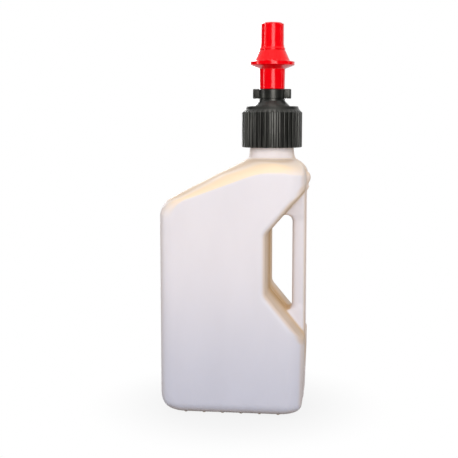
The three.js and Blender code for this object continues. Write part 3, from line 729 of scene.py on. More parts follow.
def thread_ridge(root, tip, start_z, turns):
    """A helical ridge of trapezoid section, fading in and out at its ends."""
    steps = round(turns * THREAD_STEPS_PER_TURN)
    sunk = root + THREAD_SINK * np.sign(root - tip)
    rings = []
    for k in range(steps + 1):
        fade = min(1, k / THREAD_FADE_STEPS + 0.05, (steps - k) / THREAD_FADE_STEPS + 0.05)
        angle = 2 * math.pi * k / THREAD_STEPS_PER_TURN
        z = start_z + THREAD_PITCH * k / THREAD_STEPS_PER_TURN
        edge = mix(root, tip, fade)
        section = [
            (sunk, -THREAD_ROOT_HALF), (edge, -THREAD_TIP_HALF),
            (edge, THREAD_TIP_HALF), (sunk, THREAD_ROOT_HALF),
        ]
        rings.append([(NECK_X + r * math.cos(angle), r * math.sin(angle), z + rise) for r, rise in section])
    return loft("thread_ridge", rings)


def seam_ridge(path):
    """The fine ridge that the two mould halves leave, along a path of X and Z in the middle plane."""
    path = np.asarray(path, float)
    ahead = np.gradient(path, axis=0)
    ahead /= np.linalg.norm(ahead, axis=1, keepdims=True)
    rings = []
    for (x, z), (dx, dz) in zip(path, ahead):
        ring = []
        for angle in np.arange(6) * math.pi / 3:
            side = SEAM_RADIUS * math.cos(angle)
            out = SEAM_RADIUS * math.sin(angle)
            ring.append((x - dz * out, side, z + dx * out))
        rings.append(ring)
    return loft("seam_ridge", rings)


def seam_paths():
    """The parting line's stretches: up the front and shoulder, up the rear, and round the grip."""
    low = [z for z in body_heights(2) if z < SEAM_TOP_Z]
    front = [(body_section(z)[0], z) for z in low]
    rear = [(body_section(z)[1], z) for z in low]
    around = rounded_outline(grip_corners(), GRIP_CORNER_RADIUS, -GRIP_DRAFT, 10)
    wall = sorted((p for p in around if p[0] < BAR_FRONT_X), key=lambda p: p[1])
    end_x = BAR_FRONT_X - SEAM_END_GAP
    low_end = (end_x, wall[0][1] - (end_x - wall[0][0]) * math.tan(RAMP_ANGLE))
    high_end = (end_x, wall[-1][1] + (end_x - wall[-1][0]) * math.tan(ROOF_ANGLE))
    return front, rear, [low_end, *wall, high_end]


# How strongly each place is painted: warm painted shade in the grip, at edges, underneath and at the feet,
# and painted highlight along the crests.
# The bounds in the functions below are millimetres for places and parts of 1 for normals.
PAINTED_SHADE = {
    "grip_rim": 0.62,
    "grip_middle": 1.0,
    "bar": 0.45,
    "rim": 0.5,
    "neck": 0.22,
    "rear": 0.3,
    "low_rear": 0.4,
    "feet": 0.95,
    "base": 0.35,
    "front": 0.2,
    "ridge": 0.6,
}
PAINTED_LIGHT = {"crest": 0.9, "top": 0.35, "neck": 0.12}


def grip_places(place, normal):
    """How deep each point lies in the grip's outline, and how far it belongs to bar and recess."""
    x, y, z = place
    above_ramp = (z - GRIP_LOW_Z + (x - GRIP_X) * math.tan(RAMP_ANGLE)) * math.cos(RAMP_ANGLE)
    below_roof = (GRIP_HIGH_Z + (x - GRIP_X) * math.tan(ROOF_ANGLE) - z) * math.cos(ROOF_ANGLE)
    inside = np.minimum(np.minimum(above_ramp, below_roof), x - GRIP_X)
    bar = smooth_share(x, BAR_FRONT_X - 4, BAR_FRONT_X + 1) * smooth_share(-np.abs(y), -26, -19)
    recess = smooth_share(inside, -7, -1) * smooth_share(-np.abs(normal[1]), -0.75, -0.35)
    recess *= (1 - bar) * (1 - smooth_share(inside, 8, 14))
    return inside, bar, recess


def painted_shade_share(place, normal):
    """How far the wall takes warm painted shade: in the grip, at edges, underneath, at the feet and on faces
    that lie in shade.
    """
    x, y, z = place
    nx, ny, nz = normal
    across = np.abs(y)
    inside, bar, recess = grip_places(place, normal)
    depth = smooth_share(-across, -HALF_DEPTH, -HALF_DEPTH + 8)
    middle = smooth_share(-across, -60, 0)
    rim = smooth_share(inside, -10, -4) * smooth_share(-np.abs(ny), -0.97, -0.6) * (1 - bar)
    rim *= 1 - smooth_share(inside, 2, 6)
    neck = smooth_share(np.abs(nx), 0.6, 1) * smooth_share(z, SHOULDER_TOP_Z - 6, SHOULDER_TOP_Z + 2)
    rear = smooth_share(nx, 0.7, 0.93) * smooth_share(x, REAR_X - 10, REAR_X - 4)
    low_rear = smooth_share(z, 30, 100) * (1 - smooth_share(z, 125, 175)) * smooth_share(-across, -50, -8)
    feet = 1 - smooth_share(z, FOOT_HEIGHT, FOOT_HEIGHT + 1.5)
    base = smooth_share(-nz, 0.3, 0.9) * (1 - smooth_share(z, 14, 24))
    front = smooth_share(-nx, 0.55, 1) * (1 - recess) * (1 - bar)
    side = np.hypot(ny, np.maximum(nx, 0))
    ridge = smooth_share(side, 0.04, 0.16) * smooth_share(-side, -0.42, -0.24)
    ridge *= smooth_share(nz, 0.6, 0.8) * smooth_share(z, SHOULDER_START_Z, SLOPE_START_Z + 8)
    ridge *= 1 - smooth_share(z, SHOULDER_TOP_Z - 3, SHOULDER_TOP_Z + 3)
    # Every term below is warm painted shade; on the rear it is stronger on the lower middle
    return np.max([
        recess * depth * mix(PAINTED_SHADE["grip_rim"], PAINTED_SHADE["grip_middle"], middle),
        bar * smooth_share(nx, 0.35, 0.9) * PAINTED_SHADE["bar"],
        rim * PAINTED_SHADE["rim"],
        neck * PAINTED_SHADE["neck"],
        rear * (PAINTED_SHADE["rear"] + PAINTED_SHADE["low_rear"] * low_rear),
        feet * PAINTED_SHADE["feet"],
        base * PAINTED_SHADE["base"],
        front * PAINTED_SHADE["front"],
        ridge * PAINTED_SHADE["ridge"],
    ], axis=0)


def painted_light_share(place, normal):
    """How far the wall takes painted highlight along the shoulder's crests, and painted light on its slope
    and at the neck.
    """
    x, _, z = place
    nx, ny, nz = normal
    side = np.hypot(ny, np.maximum(nx, 0))
    neck = smooth_share(z, SHOULDER_TOP_Z - 3, SHOULDER_TOP_Z + 3)
    top = smooth_share(nz, 0.5, 0.9) * smooth_share(z, 300, 330)
    crest = smooth_share(side, 0.25, 0.6) * smooth_share(-side, -1.001, -0.9)
    crest *= smooth_share(z, SHOULDER_START_Z - 10, SLOPE_START_Z + 12) * (1 - neck)
    crest *= 1 - 0.6 * smooth_share(x, 70, 100)
    # Every term below is painted light: the crest highlight, the lighter top and the lighter neck
    return np.clip(crest * PAINTED_LIGHT["crest"] + top * PAINTED_LIGHT["top"] + neck * PAINTED_LIGHT["neck"], 0, 1)


def paint_body(piece):
    """Stores on the body's points how far the wall takes warm painted shade and painted highlight."""
    mesh = piece.data
    place = np.empty(len(mesh.vertices) * 3)
    mesh.vertices.foreach_get("co", place)
    normal = np.empty(len(mesh.vertices) * 3)
    mesh.vertex_normals.foreach_get("vector", normal)
    place = place.reshape(-1, 3).T / MM
    normal = normal.reshape(-1, 3).T
    for name, shares in (("amber_shade", painted_shade_share(place, normal)), ("cream_light", painted_light_share(place, normal))):
        layer = mesh.attributes.new(name, "FLOAT", "POINT")
        layer.data.foreach_set("value", shares.astype(np.float32))


def jug_cavity():
    """What the wall leaves free inside: the inset body less the grip's wall, open at the neck."""
    rings = [section_ring(z, 12) for z in body_heights(1)]
    inner = inset_rings(rings, WALL)
    inner[-1, :, 2] = NECK_RIM_Z + 5
    cavity = loft("cavity", inner)
    cut(cavity, grip_tool(WALL, 6))
    return joined(cavity, handle_bar(WALL, 6))


def jug_shell():
    piece = loft("jug_shell", [section_ring(z, 24) for z in body_heights(4)])
    cut(piece, grip_tool(0, 14))
    joined(piece, handle_bar(0, 12))
    joined(piece, rounded_lump("boss", BOSS_Z, BOSS_RADII, BOSS_SINK))
    joined(piece, rounded_lump("tab", TAB_Z, TAB_RADII, 0))
    skin = piece.modifiers.new("skin", "REMESH")
    skin.mode = "VOXEL"
    skin.voxel_size = SKIN_GRID * MM
    easing = piece.modifiers.new("easing", "SMOOTH")
    easing.factor = 0.5
    easing.iterations = SKIN_EASING
    settled(piece)
    joined(piece, feet())
    thread_z = NECK_RIM_Z - THREAD_PITCH * (1 + THREAD_TURNS)
    joined(piece, thread_ridge(NECK_RADIUS - 0.3, NECK_RADIUS + THREAD_HEIGHT, thread_z, THREAD_TURNS))
    cut(piece, jug_cavity())
    for path in seam_paths():
        joined(piece, seam_ridge(path))
    paint_body(piece)
    return finished(piece, "jug", "jug_body", HDPE, crease=50)


# Screw cap
CAP_RADIUS = (cap_high[0] - cap_low[0]) / 2
CAP_BOTTOM_Z = cap_low[2]
CAP_TOP_Z = cap_high[2]
CAP_RIB_COUNT = 36
CAP_RIB_DEPTH = 1.8
CAP_RIB_SINK = 1
CAP_RIB_END_SHARE = 0.8
# One flank of a rib: distance from its middle and fall from its crest, and none where it is sunk
CAP_RIB_FLANK = [(0.9, 0.02), (1.8, 0.12), (2.25, 0.45), (2.65, 1.15), (3.1, None)]
CAP_HEIGHT = 54.3
CAP_CHAMFER = 4.7
CAP_HUB_RADIUS = 42.2
CAP_HUB_TOP_RADIUS = 40.8
CAP_PLATE = 5
CAP_WALL = 3.1
CAP_THREAD_WALL = 3
CAP_THREAD_DEPTH = 32
THREAD_CLEARANCE = 0.5
RUNNING = 0.3
NOSE_RADIUS = 27.6
CAP_SHOULDER_Z = CAP_BOTTOM_Z + CAP_HEIGHT
CAP_PLATE_Z = CAP_SHOULDER_Z + CAP_CHAMFER


def cap_ribs():
    """The grip ribs round the skirt, each with rounded flanks and a foot that rounds in."""
    root = CAP_RADIUS - CAP_RIB_DEPTH - CAP_RIB_SINK
    levels = [
        (CAP_BOTTOM_Z + 0.1, 1.5), (CAP_BOTTOM_Z + 0.4, 0.8),
        (CAP_BOTTOM_Z + 0.9, 0.3), (CAP_BOTTOM_Z + 1.6, 0),
        (CAP_SHOULDER_Z - 0.8, 0), (CAP_SHOULDER_Z, 0.25), (CAP_SHOULDER_Z + 0.6, 0.8),
        (CAP_SHOULDER_Z + CAP_CHAMFER * CAP_RIB_END_SHARE,
         (CAP_RADIUS - CAP_HUB_RADIUS) * CAP_RIB_END_SHARE),
    ]
    section = [(-side, fall) for side, fall in reversed(CAP_RIB_FLANK)] + [(0, 0)] + CAP_RIB_FLANK
    rings = []
    for z, inward in levels:
        ring = []
        for side, fall in section:
            radius = root - inward if fall is None else CAP_RADIUS - fall - inward
            ring.append((radius, side, z))
        rings.append(ring)
    return ring_of_copies(loft("cap_ribs", rings), {"Count": CAP_RIB_COUNT}, BLACK)


def screw_cap():
    valley = CAP_RADIUS - CAP_RIB_DEPTH
    underside = CAP_PLATE_Z - CAP_PLATE
    thread_bore = NECK_RADIUS + THREAD_HEIGHT + THREAD_CLEARANCE
    thread_wall = thread_bore + CAP_THREAD_WALL
    nose_hole = NOSE_RADIUS + 2 * RUNNING
    piece = turned("ribbed_cap", [
        (valley - CAP_WALL, CAP_BOTTOM_Z, 0.6), (valley, CAP_BOTTOM_Z, 0.8), (valley, CAP_SHOULDER_Z, 1),
        (CAP_HUB_RADIUS + 0.6, CAP_PLATE_Z, 0.3), (CAP_HUB_RADIUS, CAP_PLATE_Z, 0.2),
        (CAP_HUB_TOP_RADIUS, CAP_TOP_Z, 1.1), (nose_hole, CAP_TOP_Z, 0.6), (nose_hole, underside, 0.3),
        (thread_bore, underside, 0.5), (thread_bore, underside - CAP_THREAD_DEPTH, 0.5),
        (thread_wall, underside - CAP_THREAD_DEPTH, 0.5), (thread_wall, CAP_SHOULDER_Z - CAP_PLATE + 1, 0.8),
        (valley - CAP_WALL, CAP_SHOULDER_Z - CAP_PLATE + 1, 0.8),
    ], steps=180)
    joined(piece, cap_ribs())
    ridge_z = NECK_RIM_Z - THREAD_PITCH * (THREAD_TURNS + 1.5)
    joined(piece, thread_ridge(thread_bore + 0.2, thread_bore - THREAD_HEIGHT, ridge_z, THREAD_TURNS - 0.2))
    return finished(piece, "cap", "screw_cap", BLACK, crease=32)


# Nozzle base, gasket and collar
FLANGE_RADIUS = (base_high[0] - base_low[0]) / 2
FLANGE_THICKNESS = 4.4
GASKET_WIDTH = 4.6
NOSE_TOP_RADIUS = 20.2
NOSE_CYLINDER = 11
NOSE_PLINTH = 3.4
NOSE_WALL = 2.6
LIP_THICKNESS = 2.1
LIP_DEPTH = 1.2
JOINT_RADIUS = 19.8
PLUG_RADIUS = 17
PLUG_WALL = 3.4
PLUG_BORE = PLUG_RADIUS - PLUG_WALL
COLLAR_RADIUS = 21.5
EAR_WIDTH = 15
EAR_CORNER_RADIUS = 3
# The ears' eased edge: rise from the face and how far the outline lies in
EAR_EDGE = [(0, 1.0), (0.12, 0.62), (0.4, 0.25), (1, 0)]
SPIDER_BOTTOM_Z = stem_low[2]
SPIDER_HEIGHT = 4.6


def nozzle_base():
    bottom, top = base_low[2], base_high[2]
    flange_top = bottom + FLANGE_THICKNESS
    cone_foot = flange_top + NOSE_CYLINDER
    cone_top = cone_foot + NOSE_RADIUS - NOSE_TOP_RADIUS
    shoulder = cone_top + NOSE_PLINTH
    bore = PLUG_BORE + 1
    inner = NOSE_RADIUS - NOSE_WALL
    floor = SPIDER_BOTTOM_Z - RUNNING
    groove = JOINT_RADIUS - LIP_DEPTH
    lip_top = collar_low[2] + LIP_THICKNESS + RUNNING
    socket = PLUG_RADIUS + RUNNING
    piece = turned("flanged_base", [
        (inner, bottom, 0.4), (FLANGE_RADIUS, bottom, 0.6), (FLANGE_RADIUS, flange_top, 0.6),
        (NOSE_RADIUS, flange_top, 0.8), (NOSE_RADIUS, cone_foot, 1.4), (NOSE_TOP_RADIUS, cone_top, 2.2),
        (NOSE_TOP_RADIUS, shoulder, 0.4), (groove, shoulder, 0.3), (groove, lip_top, 0.3),
        (JOINT_RADIUS, lip_top, 0.3), (JOINT_RADIUS, top, 0.4), (socket, top, 0.3), (socket, floor, 0.3),
        (bore, floor, 0.4), (inner, floor - (inner - bore), 2),
    ])
    return finished(piece, "nozzle", "nozzle_base", BLACK)


def neck_gasket():
    low, high = box_mm("neck_gasket")
    outer = (high[0] - low[0]) / 2
    inner = outer - GASKET_WIDTH
    piece = turned("flat_gasket", [
        (inner, low[2], 0.3), (outer, low[2], 0.3), (outer, high[2], 0.3), (inner, high[2], 0.3)], steps=96)
    return finished(piece, "nozzle", "neck_gasket", RUBBER)


def collar_ears():
    """The two thumb ears as one bar, with rounded upright corners and eased edges."""
    half_span = (collar_high[0] - collar_low[0]) / 2
    half_width = EAR_WIDTH / 2
    low, high = collar_low[2], collar_high[2]
    levels = [(low + rise, inward) for rise, inward in EAR_EDGE]
    levels += [(high - rise, inward) for rise, inward in reversed(EAR_EDGE)]
    corners = rectangle(-half_span, -half_width, half_span, half_width)
    rings = []
    for z, inward in levels:
        outline = rounded_outline(corners, EAR_CORNER_RADIUS, -inward, 8)
        rings.append([(NECK_X + x, y, z) for x, y in outline])
    return loft("collar_ears", rings)


def clamp_collar():
    low, high = collar_low[2], collar_high[2]
    bore = JOINT_RADIUS + RUNNING
    lip = bore - LIP_DEPTH
    ears = collar_ears()
    clear = bore + 0.4
    cut(ears, turned("ear_bore", [
        (0, low - 1, 0), (clear, low - 1, 0), (clear, high + 1, 0), (0, high + 1, 0)]))
    piece = turned("eared_collar", [
        (lip, low, 0.3), (COLLAR_RADIUS, low, 0.8), (COLLAR_RADIUS, high, 1.2), (lip, high, 0.3),
        (lip, high - LIP_THICKNESS, 0.2), (bore, high - LIP_THICKNESS, 0.2),
        (bore, low + LIP_THICKNESS, 0.2), (lip, low + LIP_THICKNESS, 0.2),
    ])
    joined(piece, ears)
    return finished(piece, "collar", "clamp_collar", BLACK)


# Red nozzle body, gland ring and pour tube
SEAT = 0.3
TUBE_RADIUS = 17.8
TUBE_WALL = 1.9
TUBE_BORE = TUBE_RADIUS - TUBE_WALL
BEAD_RADIUS = (tube_high[0] - tube_low[0]) / 2
BEAD_THICKNESS = 3
TUBE_TRAVEL = 20
TANK_FLANGE_RADIUS = (nozzle_high[0] - nozzle_low[0]) / 2
TANK_FLANGE_THICKNESS = 7.3
FLANGE_UNDERSIDE = 4.8
LOWER_TUBE_RADIUS = 19.7
LOWER_TUBE_TOP_RADIUS = 20.2
LOWER_TUBE_LENGTH = 30.9
CONE_FOOT_RADIUS = 27.8
CONE_TOP_RADIUS = 20.2
GLAND_TOP_RADIUS = 18.6
MOUTH_RADIUS = 13.2
MOUTH_LENGTH = 10.6
RING_SECTION = 0.85
WIPER_SECTION = 0.7
RING_GAP = 0.06
RING_SIDE_GAP = 0.2
WIPER_GROOVE = 1.5
LOWER_TUBE_Z = collar_high[2] + SEAT
UNDERSIDE_Z = LOWER_TUBE_Z + LOWER_TUBE_LENGTH
TANK_FLANGE_Z = UNDERSIDE_Z + FLANGE_UNDERSIDE
TANK_FLANGE_TOP_Z = TANK_FLANGE_Z + TANK_FLANGE_THICKNESS
BEAD_TOP_Z = gland_low[2] - SEAT
BEAD_BOTTOM_Z = BEAD_TOP_Z - BEAD_THICKNESS
CHAMBER_FLOOR_Z = BEAD_BOTTOM_Z - TUBE_TRAVEL - 2 * SEAT
LEDGE_Z = tube_low[2] - TUBE_TRAVEL - 2


def ring_middle(node):
    low, high = box_mm(node)
    return (high[0] - low[0]) / 2, (high[2] + low[2]) / 2


def nozzle_body():
    bottom = nozzle_low[2]
    top = nozzle_high[2]
    seat_z = base_high[2] + SEAT
    groove = JOINT_RADIUS - LIP_DEPTH
    guide = TUBE_RADIUS + RUNNING
    chamber = BEAD_RADIUS + RUNNING
    _, ring_z = ring_middle("base_seal_ring")
    ring_floor = PLUG_RADIUS + RUNNING - RING_GAP * 2 - RING_SECTION * 2
    ring_half = RING_SECTION + RING_SIDE_GAP
    bead_z = collar_high[2] - LIP_THICKNESS - SEAT
    piece = turned("red_nozzle_body", [
        (PLUG_BORE, bottom, 0.4), (PLUG_RADIUS, bottom, 0.6), (PLUG_RADIUS, ring_z - ring_half, 0.1),
        (ring_floor, ring_z - ring_half, 0.1), (ring_floor, ring_z + ring_half, 0.1),
        (PLUG_RADIUS, ring_z + ring_half, 0.1), (PLUG_RADIUS, seat_z, 0.1), (JOINT_RADIUS, seat_z, 0.3),
        (JOINT_RADIUS, bead_z, 0.3), (groove, bead_z, 0.2), (groove, LOWER_TUBE_Z, 0.1),
        (LOWER_TUBE_RADIUS, LOWER_TUBE_Z, 0.4), (LOWER_TUBE_TOP_RADIUS, UNDERSIDE_Z, 1.6),
        (TANK_FLANGE_RADIUS - 3, TANK_FLANGE_Z - 0.6, 1.6), (TANK_FLANGE_RADIUS, TANK_FLANGE_Z + 1, 0.8),
        (TANK_FLANGE_RADIUS, TANK_FLANGE_TOP_Z, 1.4), (CONE_FOOT_RADIUS, TANK_FLANGE_TOP_Z, 1.6),
        (CONE_TOP_RADIUS, top, 0.5), (chamber, top, 0.2), (chamber, CHAMBER_FLOOR_Z, 0.3),
        (guide, CHAMBER_FLOOR_Z - 1, 0.3), (guide, LEDGE_Z, 0.3), (PLUG_BORE, LEDGE_Z, 0.4),
    ], steps=160)
    return finished(piece, "nozzle", "nozzle_body", RED)


def gland_ring():
    low, high = gland_low[2], gland_high[2]
    cone_top = nozzle_high[2] + SEAT
    bore = TUBE_RADIUS + RUNNING
    spigot = BEAD_RADIUS + RUNNING - 0.1
    _, wiper_z = ring_middle("wiper_ring")
    floor = TUBE_RADIUS + 2 * RING_GAP + WIPER_GROOVE
    half = WIPER_SECTION + RING_SIDE_GAP
    piece = turned("red_gland_ring", [
        (bore, low, 0.2), (spigot, low, 0.3), (spigot, cone_top, 0.1), (CONE_TOP_RADIUS, cone_top, 0.5),
        (CONE_TOP_RADIUS, cone_top + 2.2, 0.9), (GLAND_TOP_RADIUS, cone_top + 4.6, 1.2),
        (bore + 0.35, high, 0.1), (bore, high, 0.1),
        (bore, wiper_z + half, 0.1), (floor, wiper_z + half, 0.1), (floor, wiper_z - half, 0.1),
        (bore, wiper_z - half, 0.1),
    ])
    return finished(piece, "nozzle", "gland_ring", RED)


def pour_tube():
    low, high = tube_low[2], tube_high[2]
    mouth_floor = high - MOUTH_LENGTH
    piece = turned("red_pour_tube", [
        (TUBE_BORE, low, 0.4), (TUBE_RADIUS, low, 0.5), (TUBE_RADIUS, BEAD_BOTTOM_Z, 0.2),
        (BEAD_RADIUS, BEAD_BOTTOM_Z, 0.4), (BEAD_RADIUS, BEAD_TOP_Z, 0.4), (TUBE_RADIUS, BEAD_TOP_Z, 0.2),
        (TUBE_RADIUS, high, 1.9), (MOUTH_RADIUS, high, 1.1), (MOUTH_RADIUS, mouth_floor, 0.5),
        (TUBE_BORE, mouth_floor, 0.8),
    ], steps=160)
    return finished(piece, "tube", "pour_tube", RED)


# Seals, valve and spring
def seal_ring(name, node, section):
    """A rubber ring of round section, as wide as its node."""
    outer, middle_z = ring_middle(node)
    radius = outer - section
    rings = []
    for turn in np.linspace(0, 2 * math.pi, 96, endpoint=False):
        ring = []
        for around in np.linspace(0, 2 * math.pi, 16, endpoint=False):
            r = radius + section * math.cos(around)
            z = middle_z + section * math.sin(around)
            ring.append((NECK_X + r * math.cos(turn), r * math.sin(turn), z))
        rings.append(ring)
    return finished(loft(name, rings, closed=True), "nozzle", node, RUBBER, crease=60)


STEM_RADIUS = 4.5
STEM_HUB_WALL = 1.2
STEM_SPIGOT_STEP = 1.4
STEM_RING_WIDTH = 3
SPOKE_COUNT = 3
SPOKE_WIDTH = 3
SPOKE_EDGE_RADIUS = 0.5
HEAD_PLATE = 3
HEAD_RADIUS = (head_high[0] - head_low[0]) / 2
SPRING_TURNS = 8.0
SPRING_RADIUS = 14.7
SPRING_WIRE_RADIUS = 0.9
SPRING_END_RISE = 2.3 * SPRING_WIRE_RADIUS
SPRING_STEPS_PER_TURN = 48


def stem_spokes():
    """The spokes that carry the stem in its ring."""
    reach = PLUG_RADIUS - STEM_RING_WIDTH / 2
    half = SPOKE_WIDTH / 2
    corners = rectangle(-half, SPIDER_BOTTOM_Z, half, SPIDER_BOTTOM_Z + SPIDER_HEIGHT)
    rings = []
    for x in (0, reach):
        rings.append([(x, y, z) for y, z in rounded_outline(corners, SPOKE_EDGE_RADIUS, 0, 4)])
    return loft("stem_spokes", rings)


def valve_stem():
    bottom = SPIDER_BOTTOM_Z
    top = bottom + SPIDER_HEIGHT
    end = stem_high[2]
    shoulder = head_low[2] - SEAT
    hub = STEM_RADIUS + STEM_HUB_WALL
    spigot = STEM_RADIUS - STEM_SPIGOT_STEP
    ring = PLUG_RADIUS - STEM_RING_WIDTH
    piece = turned("spoked_stem", [
        (0, bottom, 0), (hub, bottom, 0.4), (hub, top + 2, 0.8), (STEM_RADIUS, top + 5, 1.5),
        (STEM_RADIUS, shoulder, 0.3), (spigot, shoulder, 0.2), (spigot, end, 0.4), (0, end, 0),
    ], steps=64)
    joined(piece, turned("stem_ring", [
        (ring, bottom, 0.4), (PLUG_RADIUS, bottom, 0.4), (PLUG_RADIUS, top, 0.4), (ring, top, 0.4)]))
    for i in range(SPOKE_COUNT):
        spoke = stem_spokes()
        turn = 2 * math.pi * i / SPOKE_COUNT
        points = np.array([v.co for v in spoke.data.vertices])
        moved = np.column_stack([
            NECK_X * MM + points[:, 0] * math.cos(turn) - points[:, 1] * math.sin(turn),
            points[:, 0] * math.sin(turn) + points[:, 1] * math.cos(turn),
            points[:, 2],
        ])
        spoke.data.vertices.foreach_set("co", moved.ravel())
        joined(piece, spoke)
    return finished(piece, "nozzle", "valve_stem", BLACK)


def valve_head():
    bottom, top = head_low[2], head_high[2]
    _, ring_z = ring_middle("head_seal_ring")
    floor = MOUTH_RADIUS - 2 * RING_GAP - 2 * RING_SECTION
    half = RING_SECTION + RING_SIDE_GAP
    bore = STEM_RADIUS - STEM_SPIGOT_STEP + RUNNING
    piece = turned("valve_disc", [
        (bore, bottom, 0.2), (HEAD_RADIUS - 1.5, bottom, 0.5), (HEAD_RADIUS, bottom + 1.5, 0.5),
        (HEAD_RADIUS, ring_z - half, 0.1), (floor, ring_z - half, 0.1), (floor, ring_z + half, 0.1),
        (HEAD_RADIUS, ring_z + half, 0.1), (HEAD_RADIUS, top, 1.2), (0, top, 0), (0, top - HEAD_PLATE, 0),
        (bore, top - HEAD_PLATE, 0.2),
    ])
    return finished(piece, "nozzle", "valve_head", BLACK)


def spring_tree(sizes):
    """Wire wound round the nozzle's axis as a geometry tree, with a closed turn at each end."""
    tree, size = new_tree("wound_spring", sizes)
    steps = round(SPRING_TURNS * SPRING_STEPS_PER_TURN) + 1
    line = add_node(tree, "GeometryNodeCurvePrimitiveLine")
    fine = add_node(tree, "GeometryNodeResampleCurve", {"Curve": line.outputs["Curve"], "Count": steps})
    along = add_node(tree, "GeometryNodeSplineParameter").outputs["Factor"]
    turn = add_node(tree, "ShaderNodeMath", {
        0: along, 1: size["Turns"]}, operation="MULTIPLY").outputs["Value"]
    angle = add_node(tree, "ShaderNodeMath", {
        0: turn, 1: 2 * math.pi}, operation="MULTIPLY").outputs["Value"]
    cosine = add_node(tree, "ShaderNodeMath", {0: angle}, operation="COSINE").outputs["Value"]
    sine = add_node(tree, "ShaderNodeMath", {0: angle}, operation="SINE").outputs["Value"]
    out_x = add_node(tree, "ShaderNodeMath", {
        0: cosine, 1: size["Radius"], 2: NECK_X * MM}, operation="MULTIPLY_ADD").outputs["Value"]
    out_y = add_node(tree, "ShaderNodeMath", {
        0: sine, 1: size["Radius"]}, operation="MULTIPLY").outputs["Value"]
    # The first and the last turn climb by the end rise, and the turns between share the rest
    last = add_node(tree, "ShaderNodeMath", {
        0: size["Turns"], 1: 1.0}, operation="SUBTRACT").outputs["Value"]
    first = add_node(tree, "ShaderNodeMapRange", {
        "Value": turn, "From Min": 0.0, "From Max": 1.0, "To Min": 0.0, "To Max": size["End Rise"]})
    closing = add_node(tree, "ShaderNodeMapRange", {
        "Value": turn, "From Min": last, "From Max": size["Turns"],
        "To Min": 0.0, "To Max": size["End Rise"]})
    open_top = add_node(tree, "ShaderNodeMath", {
        0: size["End Rise"], 1: -2.0, 2: size["High"]}, operation="MULTIPLY_ADD").outputs["Value"]
    middle = add_node(tree, "ShaderNodeMapRange", {
        "Value": turn, "From Min": 1.0, "From Max": last, "To Min": size["Low"], "To Max": open_top})
    lower = add_node(tree, "ShaderNodeMath", {
        0: first.outputs["Result"], 1: middle.outputs["Result"]}, operation="ADD").outputs["Value"]
    out_z = add_node(tree, "ShaderNodeMath", {
        0: lower, 1: closing.outputs["Result"]}, operation="ADD").outputs["Value"]
    place = add_node(tree, "ShaderNodeCombineXYZ", {"X": out_x, "Y": out_y, "Z": out_z})
    path = add_node(tree, "GeometryNodeSetPosition", {
        "Geometry": fine.outputs["Curve"], "Position": place.outputs["Vector"]})
    section = add_node(tree, "GeometryNodeCurvePrimitiveCircle", {
        "Resolution": 10, "Radius": size["Wire Radius"]})
    solid = add_node(tree, "GeometryNodeCurveToMesh", {
        "Curve": path.outputs["Geometry"], "Profile Curve": section.outputs["Curve"], "Fill Caps": True})
    end_tree(tree, solid.outputs["Mesh"], STEEL)
    return tree


def return_spring():
    """The wound spring as a fixed mesh; the real one squashes to its foot as the pour tube goes down."""
    sizes = {
        "Turns": SPRING_TURNS,
        "Radius": SPRING_RADIUS * MM,
        "Wire Radius": SPRING_WIRE_RADIUS * MM,
        "Low": (spring_low[2] + SPRING_WIRE_RADIUS) * MM,
        "High": (spring_high[2] - SPRING_WIRE_RADIUS) * MM,
        "End Rise": SPRING_END_RISE * MM,
    }
    piece = piece_from("wound_return_spring", [(0, 0, 0)], [])
    grown(piece, spring_tree(sizes), sizes)
    finished(piece, "nozzle", "return_spring", STEEL, crease=60)
    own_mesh(piece)
    return piece


jug_shell()
screw_cap()
nozzle_base()
neck_gasket()
clamp_collar()
nozzle_body()
gland_ring()
pour_tube()
seal_ring("plug_seal", "base_seal_ring", RING_SECTION)
seal_ring("tube_wiper", "wiper_ring", WIPER_SECTION)
seal_ring("head_seal", "head_seal_ring", RING_SECTION)
valve_stem()
valve_head()
return_spring()


# Camera at the photograph's viewing angle, in metres, degrees and pixels of a square picture
CAMERA_TARGET = Vector((-0.014, 0, 0.2853))
CAMERA_DISTANCE = 1.5168
CAMERA_AZIMUTH = math.radians(7.0)
CAMERA_ELEVATION = math.radians(6.63)
FRAME_PIXELS = 458
FOCAL_PIXELS = 948
SENSOR_WIDTH = 36


def direction(azimuth, elevation):
    """Unit vector from the jug towards a place seen at an azimuth and elevation."""
    level = math.cos(elevation)
    return Vector((math.sin(azimuth) * level, -math.cos(azimuth) * level, math.sin(elevation)))


def place_camera():
    data = bpy.data.cameras.new("camera")
    data.sensor_width = SENSOR_WIDTH
    data.lens = FOCAL_PIXELS / FRAME_PIXELS * SENSOR_WIDTH
    camera = bpy.data.objects.new("camera", data)
    back = direction(CAMERA_AZIMUTH, CAMERA_ELEVATION)
    camera.location = CAMERA_TARGET + back * CAMERA_DISTANCE
    camera.rotation_euler = (-back).to_track_quat("-Z", "Y").to_euler()
    bpy.context.scene.collection.objects.link(camera)
    bpy.context.scene.camera = camera


# Lamps: azimuth and elevation in degrees, distance, width and height in metres, power in watts,
# whether they light matt surfaces and whether glossy ones mirror them. The softboxes give the
# plain light, and the strips give the upright reflections on the nozzle.
LAMP_AIM = Vector((0, 0, 0.35))
LAMPS = {
    "softbox_front": (15, 12, 2.0, 1.0, 1.5, 28.5, True, True),
    "softbox_left": (-72, 20, 1.8, 1.1, 1.1, 11.0, True, False),
    "softbox_right": (98, 20, 1.8, 1.1, 1.1, 7.0, True, False),
    "overhead": (10, 75, 1.5, 1.2, 1.2, 3.0, True, False),
    "softbox_behind": (195, 12, 2.0, 1.0, 1.5, 28.5, True, True),
    "strip_left": (-76, 2, 1.2, 0.16, 1.0, 4.2, False, True),
    "strip_right": (99, 2, 1.3, 0.12, 1.0, 0.8, False, True),
    "strip_overhead": (10, 80, 1.4, 0.5, 0.5, 3.0, False, True),
}


